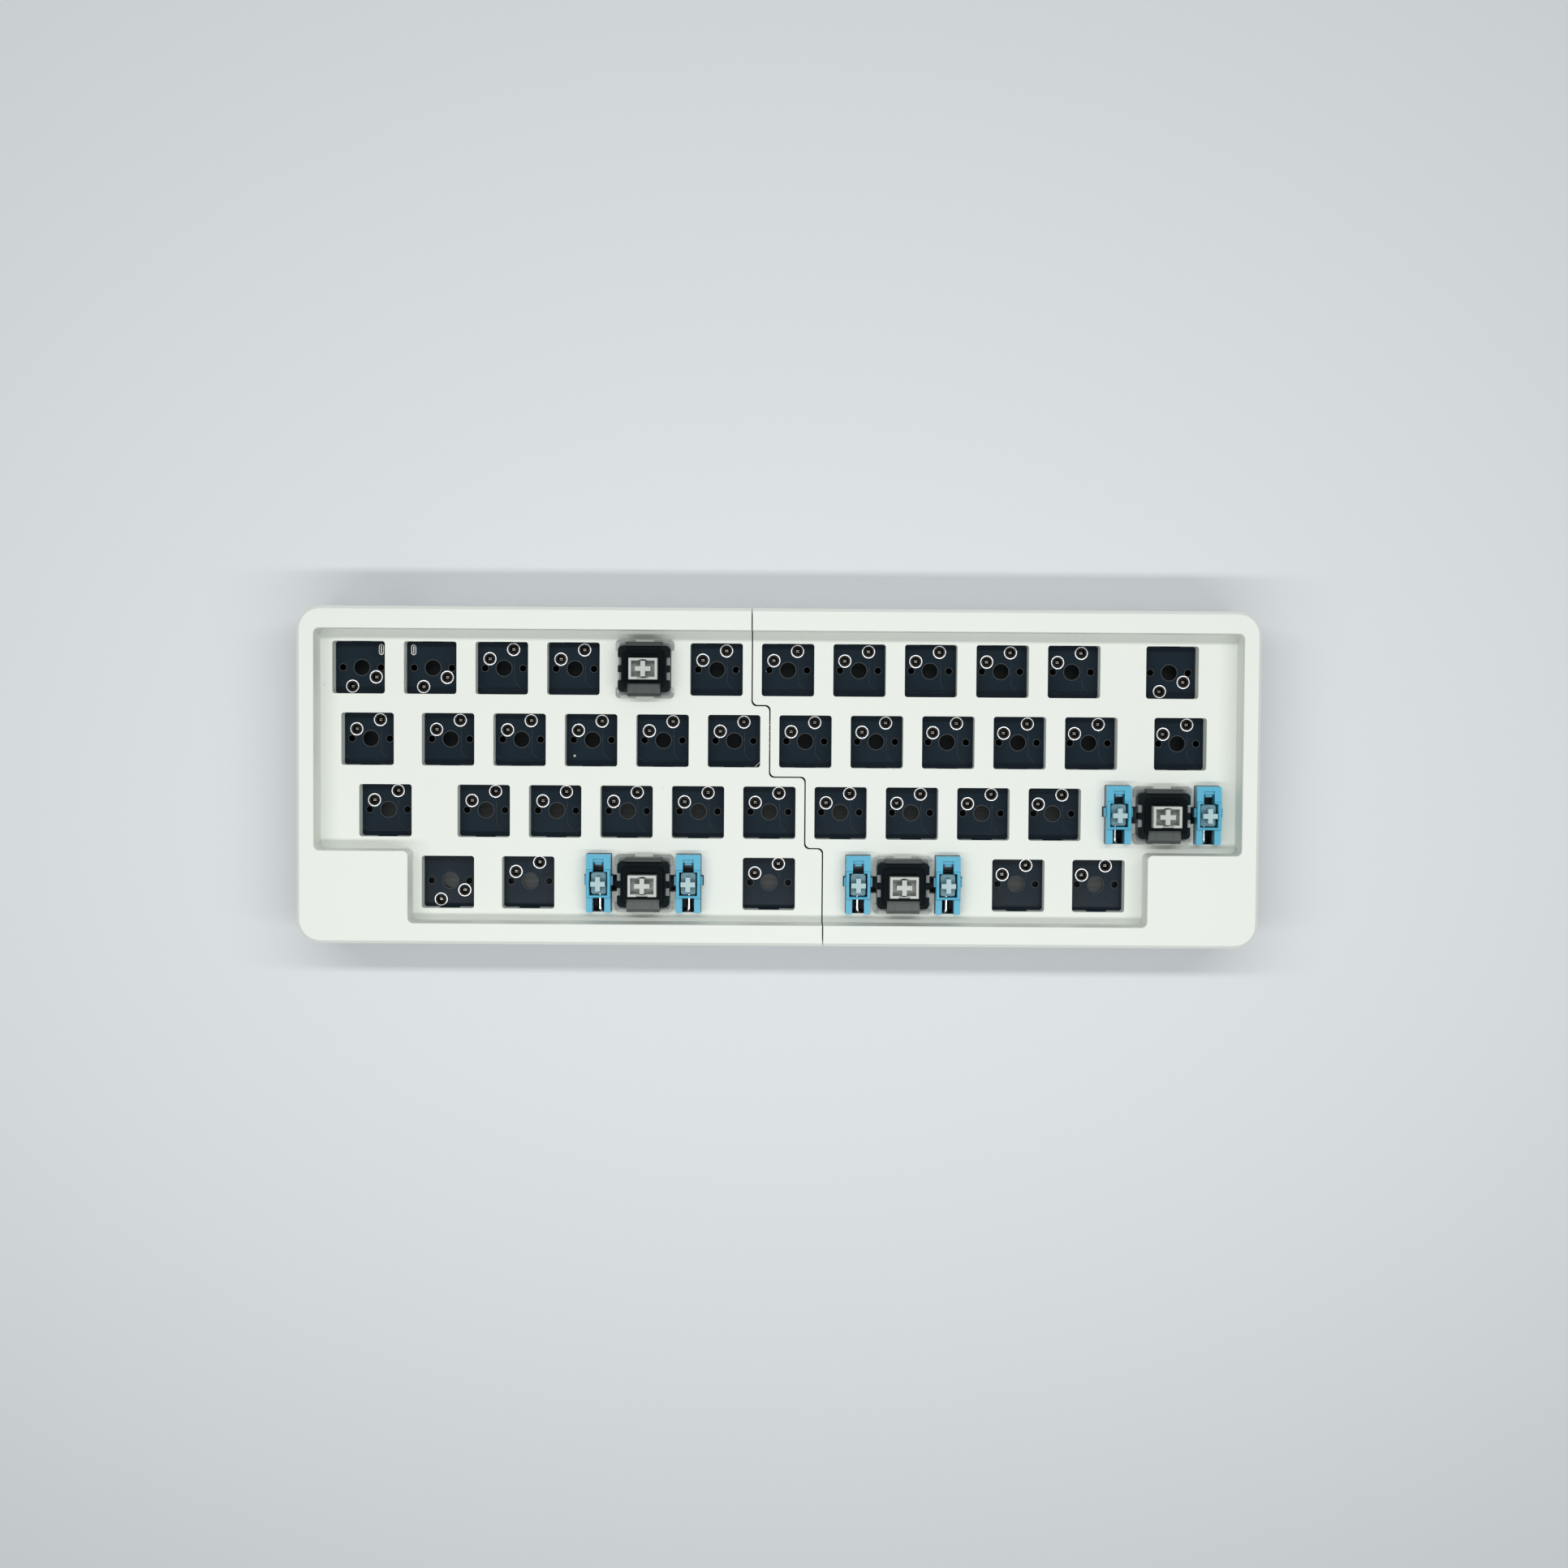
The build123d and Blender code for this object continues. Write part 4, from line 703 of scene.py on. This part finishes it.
# %% Lands and rims round the holes
land_finish = metal("tinned land", (0.80, 0.81, 0.80), 0.36, line_depth=0.0005 * MM)
rim_finish = plastic(
    "bare laminate", (0.045, 0.052, 0.052), 0.50, 0.2 * MM, 0.002 * MM, shine=0.3
)
contact_holes = ((-3.81 * MM, 2.54 * MM), (2.54 * MM, 5.08 * MM))
guide_hole_offset = 5.08 * MM
land_inner_radius = 1.51 * MM
land_width = 0.25 * MM
land_height = 0.05 * MM
guide_rim_inner_radius = 0.90 * MM
guide_rim_width = 0.13 * MM
post_rim_inner_radius = 2.12 * MM
post_rim_width = 0.15 * MM
rim_height = 0.015 * MM

for half in key_shares:
    land_points = []
    guide_points = []
    post_points = []
    for place, way in keys_of(half):
        for x, y in contact_holes:
            land_points.append(place + Vector((x * way, y * way, land_height / 2)))
        for x in (-guide_hole_offset, guide_hole_offset):
            guide_points.append(place + Vector((x, 0, rim_height / 2)))
        post_points.append(place + Vector((0, 0, rim_height / 2)))
    for name, points, radius, width, height, finish in (
        ("contact_lands", land_points, land_inner_radius, land_width, land_height,
         land_finish),
        ("guide_hole_rims", guide_points, guide_rim_inner_radius, guide_rim_width,
         rim_height, rim_finish),
        ("post_hole_rims", post_points, post_rim_inner_radius, post_rim_width,
         rim_height, rim_finish),
    ):
        rings = grow(
            f"{half}_{name}", ring_tree, points, [],
            inner_radius=radius, ring_width=width, ring_height=height, finish=finish,
        )
        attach(rings, f"{half}_half")

# %% [markdown]
# Copper tracks show through the solder mask as faint ridges. They could be a bump painted in the
# mask, but a visible ridge belongs in the shape. A column track leaves the upper contact of a
# key, passes the post and turns off at 45 degrees. A row track runs along the front of the keys
# and dips under each of them. Their corner points make a mesh of edges, and a tree turns the
# edges into curves and sweeps a flat profile along them.

# %% Tree that turns edges into tracks
def build_track_tree():
    """Flat tracks of a named width and height along the edges of a mesh."""
    tree, given, result = new_group(
        "Track on each edge",
        "GeometryNodeTree",
        [
            ("Routes", "NodeSocketGeometry", None),
            ("Track Width", "NodeSocketFloat", 0.3 * MM),
            ("Track Height", "NodeSocketFloat", 0.02 * MM),
            ("Finish", "NodeSocketMaterial", None),
        ],
        [("Tracks", "NodeSocketGeometry")],
    )
    curves = add_node(tree, "GeometryNodeMeshToCurve", {"Mesh": given["Routes"]})
    upright = add_node(
        tree, "GeometryNodeSetCurveNormal", {"Curve": curves.outputs[0]}, mode="Z_UP"
    )
    profile = add_node(
        tree,
        "GeometryNodeCurvePrimitiveQuadrilateral",
        {"Width": given["Track Width"], "Height": given["Track Height"]},
    )
    swept = add_node(
        tree,
        "GeometryNodeCurveToMesh",
        {"Curve": upright.outputs[0], "Profile Curve": profile.outputs[0], "Fill Caps": True},
    )
    end_tree(tree, swept.outputs[0], given["Finish"], result["Tracks"])
    return tree


track_tree = build_track_tree()
print("Built", track_tree.name)

# %% [markdown]
# The routes of a real board could be drawn one by one, but they hardly show, so one column
# track repeats at each key that isn't turned, and one row track at every second place. The row
# tracks lie a few thousandths of a millimetre lower than the column tracks, because two faces at
# one height would flicker where the tracks cross.

# %% Tracks on the boards
track_finish = plastic(
    "mask over copper", (0.0125, 0.0215, 0.0305), 0.26, 0.5 * MM, 0.002 * MM, 0.10, shine=0.2
)
track_width = 0.28 * MM
track_height = 0.02 * MM
track_lift = Vector((0, 0, track_height / 2))
lower_track_lift = Vector((0, 0, track_height / 5))
column_track_x = 2.75 * MM
column_track_points = (
    (0, 3.0 * MM), (0, -3.6 * MM), (2.6 * MM, -6.2 * MM), (2.6 * MM, -9.4 * MM)
)
row_track_points = (
    (-7.6 * MM, -3.6 * MM), (-5.4 * MM, -5.8 * MM), (5.4 * MM, -5.8 * MM), (7.6 * MM, -3.6 * MM)
)


def join_points(points, edges, corners):
    """Adds a line of corners to the points and edges of a route mesh."""
    first = len(points)
    points.extend(corners)
    edges.extend((index, index + 1) for index in range(first, len(points) - 1))


for half in key_shares:
    points = []
    edges = []
    for number, (place, way) in enumerate(keys_of(half)):
        if way < 0:
            continue
        start = place + track_lift + Vector((column_track_x, 0, 0))
        join_points(points, edges, [start + Vector((x, y, 0)) for x, y in column_track_points])
        if number % 2 == 0:
            start = place + lower_track_lift
            join_points(points, edges, [start + Vector((x, y, 0)) for x, y in row_track_points])
    tracks = grow(
        f"{half}_board_tracks", track_tree, points, edges,
        track_width=track_width, track_height=track_height, finish=track_finish,
    )
    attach(tracks, f"{half}_half")

# %% [markdown]
# Two legs of the cable receptacle come up through slots in the left board, and each slot has an
# oval plated land. A new tree isn't needed: the track tree makes them too, when its route is a
# closed loop.

# %% Oval lands of the cable receptacle
oval_steps = 12


def oval(middle, width, length):
    """Corners of an upright oval with half-round ends, as a closed loop."""
    radius = width / 2
    rise = (length - width) / 2
    corners = []
    for end in (1, -1):
        for step in range(oval_steps + 1):
            angle = math.pi * step / oval_steps
            x = radius * math.cos(angle) * end
            y = (radius * math.sin(angle) + rise) * end
            corners.append(middle + Vector((x, y, 0)))
    return corners + corners[:1]


port_middle = key_place(0, 1.0)
leg_x = 4.32 * MM
leg_y = 4.8 * MM
leg_land_width = 1.15 * MM
leg_land_length = 2.65 * MM
points = []
edges = []
for x in (-leg_x, leg_x):
    middle = port_middle + Vector((x, leg_y, land_height / 2))
    join_points(points, edges, oval(middle, leg_land_width, leg_land_length))
port_lands = grow(
    "port_lands", track_tree, points, edges,
    track_width=track_width, track_height=land_height, finish=land_finish,
)
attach(port_lands, "left_half")

# %% [markdown]
# Little of the board's white print shows through the openings: a short slanted line at a corner
# and a tiny round test mark. They could be a mask in the solder mask's finish, but real print is
# thin raised ink, and the track tree can draw that already.

# %% Printed marks
print_finish = plastic("board print", (0.62, 0.63, 0.60), 0.60, 0.1 * MM, 0.002 * MM, 0.06)
print_width = 0.24 * MM
print_height = 0.02 * MM
corner_mark = key_place(1, 5.75) + Vector((0, 0, print_height / 2))
corner_mark_ends = ((5.0 * MM, -7.6 * MM), (7.6 * MM, -5.0 * MM))
test_mark = key_place(1, 3.75) + Vector((-4.8 * MM, -4.3 * MM, print_height / 2))
test_mark_width = 0.36 * MM
test_mark_length = 0.40 * MM
points = []
edges = []
join_points(points, edges, [corner_mark + Vector((x, y, 0)) for x, y in corner_mark_ends])
join_points(points, edges, oval(test_mark, test_mark_width, test_mark_length))
board_print = grow(
    "board_print", track_tree, points, edges,
    track_width=print_width, track_height=print_height, finish=print_finish,
)
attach(board_print, "left_half")

# %% [markdown]
# Each switch hides a coil spring between the floor of its housing and the stem. A rigid coil
# would sink through the floor when the key goes down. Each one is drawn again as a coil with a
# mesh of its own; the spiral curve of Geometry Nodes, swept with a small circle, makes it from the
# real turns and radii.

# %% Tree that winds a coil
spring_radius = 1.95 * MM
spring_wire_radius = 0.16 * MM
spring_turns = 8.0
spring_steps = 24
wire_steps = 10


def build_spring_tree():
    """A coil of a named radius, length and wire on each point of a mesh."""
    tree, given, result = new_group(
        "Coil on each point",
        "GeometryNodeTree",
        [
            ("Feet", "NodeSocketGeometry", None),
            ("Coil Radius", "NodeSocketFloat", spring_radius),
            ("Coil Length", "NodeSocketFloat", 8 * MM),
            ("Wire Radius", "NodeSocketFloat", spring_wire_radius),
            ("Finish", "NodeSocketMaterial", None),
        ],
        [("Coils", "NodeSocketGeometry")],
    )
    spiral = add_node(
        tree,
        "GeometryNodeCurveSpiral",
        {
            "Resolution": spring_steps,
            "Rotations": spring_turns,
            "Start Radius": given["Coil Radius"],
            "End Radius": given["Coil Radius"],
            "Height": given["Coil Length"],
        },
    )
    profile = add_node(
        tree,
        "GeometryNodeCurvePrimitiveCircle",
        {"Resolution": wire_steps, "Radius": given["Wire Radius"]},
    )
    coil = add_node(
        tree,
        "GeometryNodeCurveToMesh",
        {"Curve": spiral.outputs[0], "Profile Curve": profile.outputs[0], "Fill Caps": True},
    )
    placed = add_node(
        tree,
        "GeometryNodeInstanceOnPoints",
        {"Points": given["Feet"], "Instance": coil.outputs[0]},
    )
    end_tree(tree, placed.outputs[0], given["Finish"], result["Coils"])
    return tree


spring_tree = build_spring_tree()
print("Built", spring_tree.name)

# %% [markdown]
# Each coil stands where the CAD spring stands and takes its place. It could ride on the case and
# be squashed towards its foot. Here it rides on its key, as the CAD spring does; the key goes
# down 4 mm.

# %% Coil springs
for key in ("upper_left", "lower_left", "upper_right", "lower_right"):
    low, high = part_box(f"{key}_switch_spring")
    foot = Vector(((low[0] + high[0]) / 2, (low[1] + high[1]) / 2, low[2] + spring_wire_radius))
    length = high[2] - low[2] - 2 * spring_wire_radius
    spring = grow(
        f"{key}_coil", spring_tree, [foot], [],
        coil_length=length, finish=finishes["spring_steel"],
    )
    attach(spring, f"{key}_key")
    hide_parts(f"{key}_switch_spring")
    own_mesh(spring)

# %% [markdown]
# The desk is a plain pale sheet that keeps the shadows of the case. A curved backdrop would hide
# its far edge but stand in the way of other views, so it is a very large flat sheet, whose edge
# is only a far horizon. Its colour carries a slow change, so that it doesn't look empty.

# %% Desk
desk_size = 6.0
reach = desk_size / 2
desk_mesh = bpy.data.meshes.new("desk")
desk_mesh.from_pydata(
    [(-reach, -reach, 0), (reach, -reach, 0), (reach, reach, 0), (-reach, reach, 0)],
    [],
    [(0, 1, 2, 3)],
)
desk = bpy.data.objects.new("desk", desk_mesh)
bpy.context.scene.collection.objects.link(desk)
desk_mesh.materials.append(
    plastic("desk top", (0.675, 0.708, 0.728), 0.70, 0.4 * MM, 0.004 * MM, 0.006)
)
print("Desk:", desk_size, "m wide")

# %% [markdown]
# Two long lamps lie along the object: a low one in front, which throws the shadow behind the
# case, and a higher one behind, which throws the shadow in front. Their places follow from the
# widths of the shadows on the desk and of those in the recess. A sun would give both the same
# slope, which the photograph doesn't have, so near area lamps throw them. Soft light from all
# round fills the rest.

# %% Lamps and surrounding light
def add_lamp(name, place, target, length, width, power):
    """A long area lamp that lies along X and faces its target."""
    light = bpy.data.lights.new(name, "AREA")
    light.shape = "RECTANGLE"
    light.size = length
    light.size_y = width
    light.energy = power
    lamp = bpy.data.objects.new(name, light)
    lamp.location = place
    lamp.rotation_euler = (Vector(target) - Vector(place)).to_track_quat("-Z", "Y").to_euler()
    lamp.visible_camera = False
    bpy.context.scene.collection.objects.link(lamp)
    print(name, "power:", power, "W")


case_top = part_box("left_top_case")[1][2]
front_lamp_place = (0, -0.098, case_top + 0.31)
rear_lamp_place = (0, 0.188, case_top + 0.553)
add_lamp("front lamp", front_lamp_place, (0, 0, 0), length=0.58, width=0.025, power=0.57)
add_lamp("rear lamp", rear_lamp_place, (0, 0, 0), length=0.90, width=0.045, power=1.80)
room_colour = (0.97, 0.99, 1.0, 1.0)
room_strength = 0.40
world = bpy.data.worlds.new("soft room")
world.use_nodes = True
world.node_tree.nodes["Background"].inputs["Color"].default_value = room_colour
world.node_tree.nodes["Background"].inputs["Strength"].default_value = room_strength
bpy.context.scene.world = world
bpy.context.scene.view_settings.view_transform = "Standard"

# %% [markdown]
# The camera looks almost straight down from about 0.6 m above the switch plate. It stands a
# little behind the middle of the case and leans back to it, which is why the front walls of the
# recess show more than the rear ones. The focal length follows from the picture's scale. A
# tracking constraint could aim it, but its roll is known too, so its axes are set outright.

# %% Camera
image_pixels = 1932
focal_pixels = 2750
plate_above_board = 5.0 * MM
camera_height = 595 * MM
plate_z = board_z + plate_above_board
camera_place = Vector((-0.4 * MM, 21.6 * MM, plate_z + camera_height))
camera_aim = Vector((1.5 * MM, -2.0 * MM, plate_z))
image_up = Vector((-0.0068, 1, 0))
camera_data = bpy.data.cameras.new("camera")
camera_data.lens = camera_data.sensor_width * focal_pixels / image_pixels
camera_data.clip_start = 0.01
camera = bpy.data.objects.new("camera", camera_data)
back = (camera_place - camera_aim).normalized()
side = image_up.cross(back).normalized()
turn = Matrix((side, back.cross(side), back)).transposed()
camera.matrix_world = Matrix.Translation(camera_place) @ turn.to_4x4()
bpy.context.scene.collection.objects.link(camera)
bpy.context.scene.camera = camera
print("Lens:", round(camera_data.lens, 2), "mm")
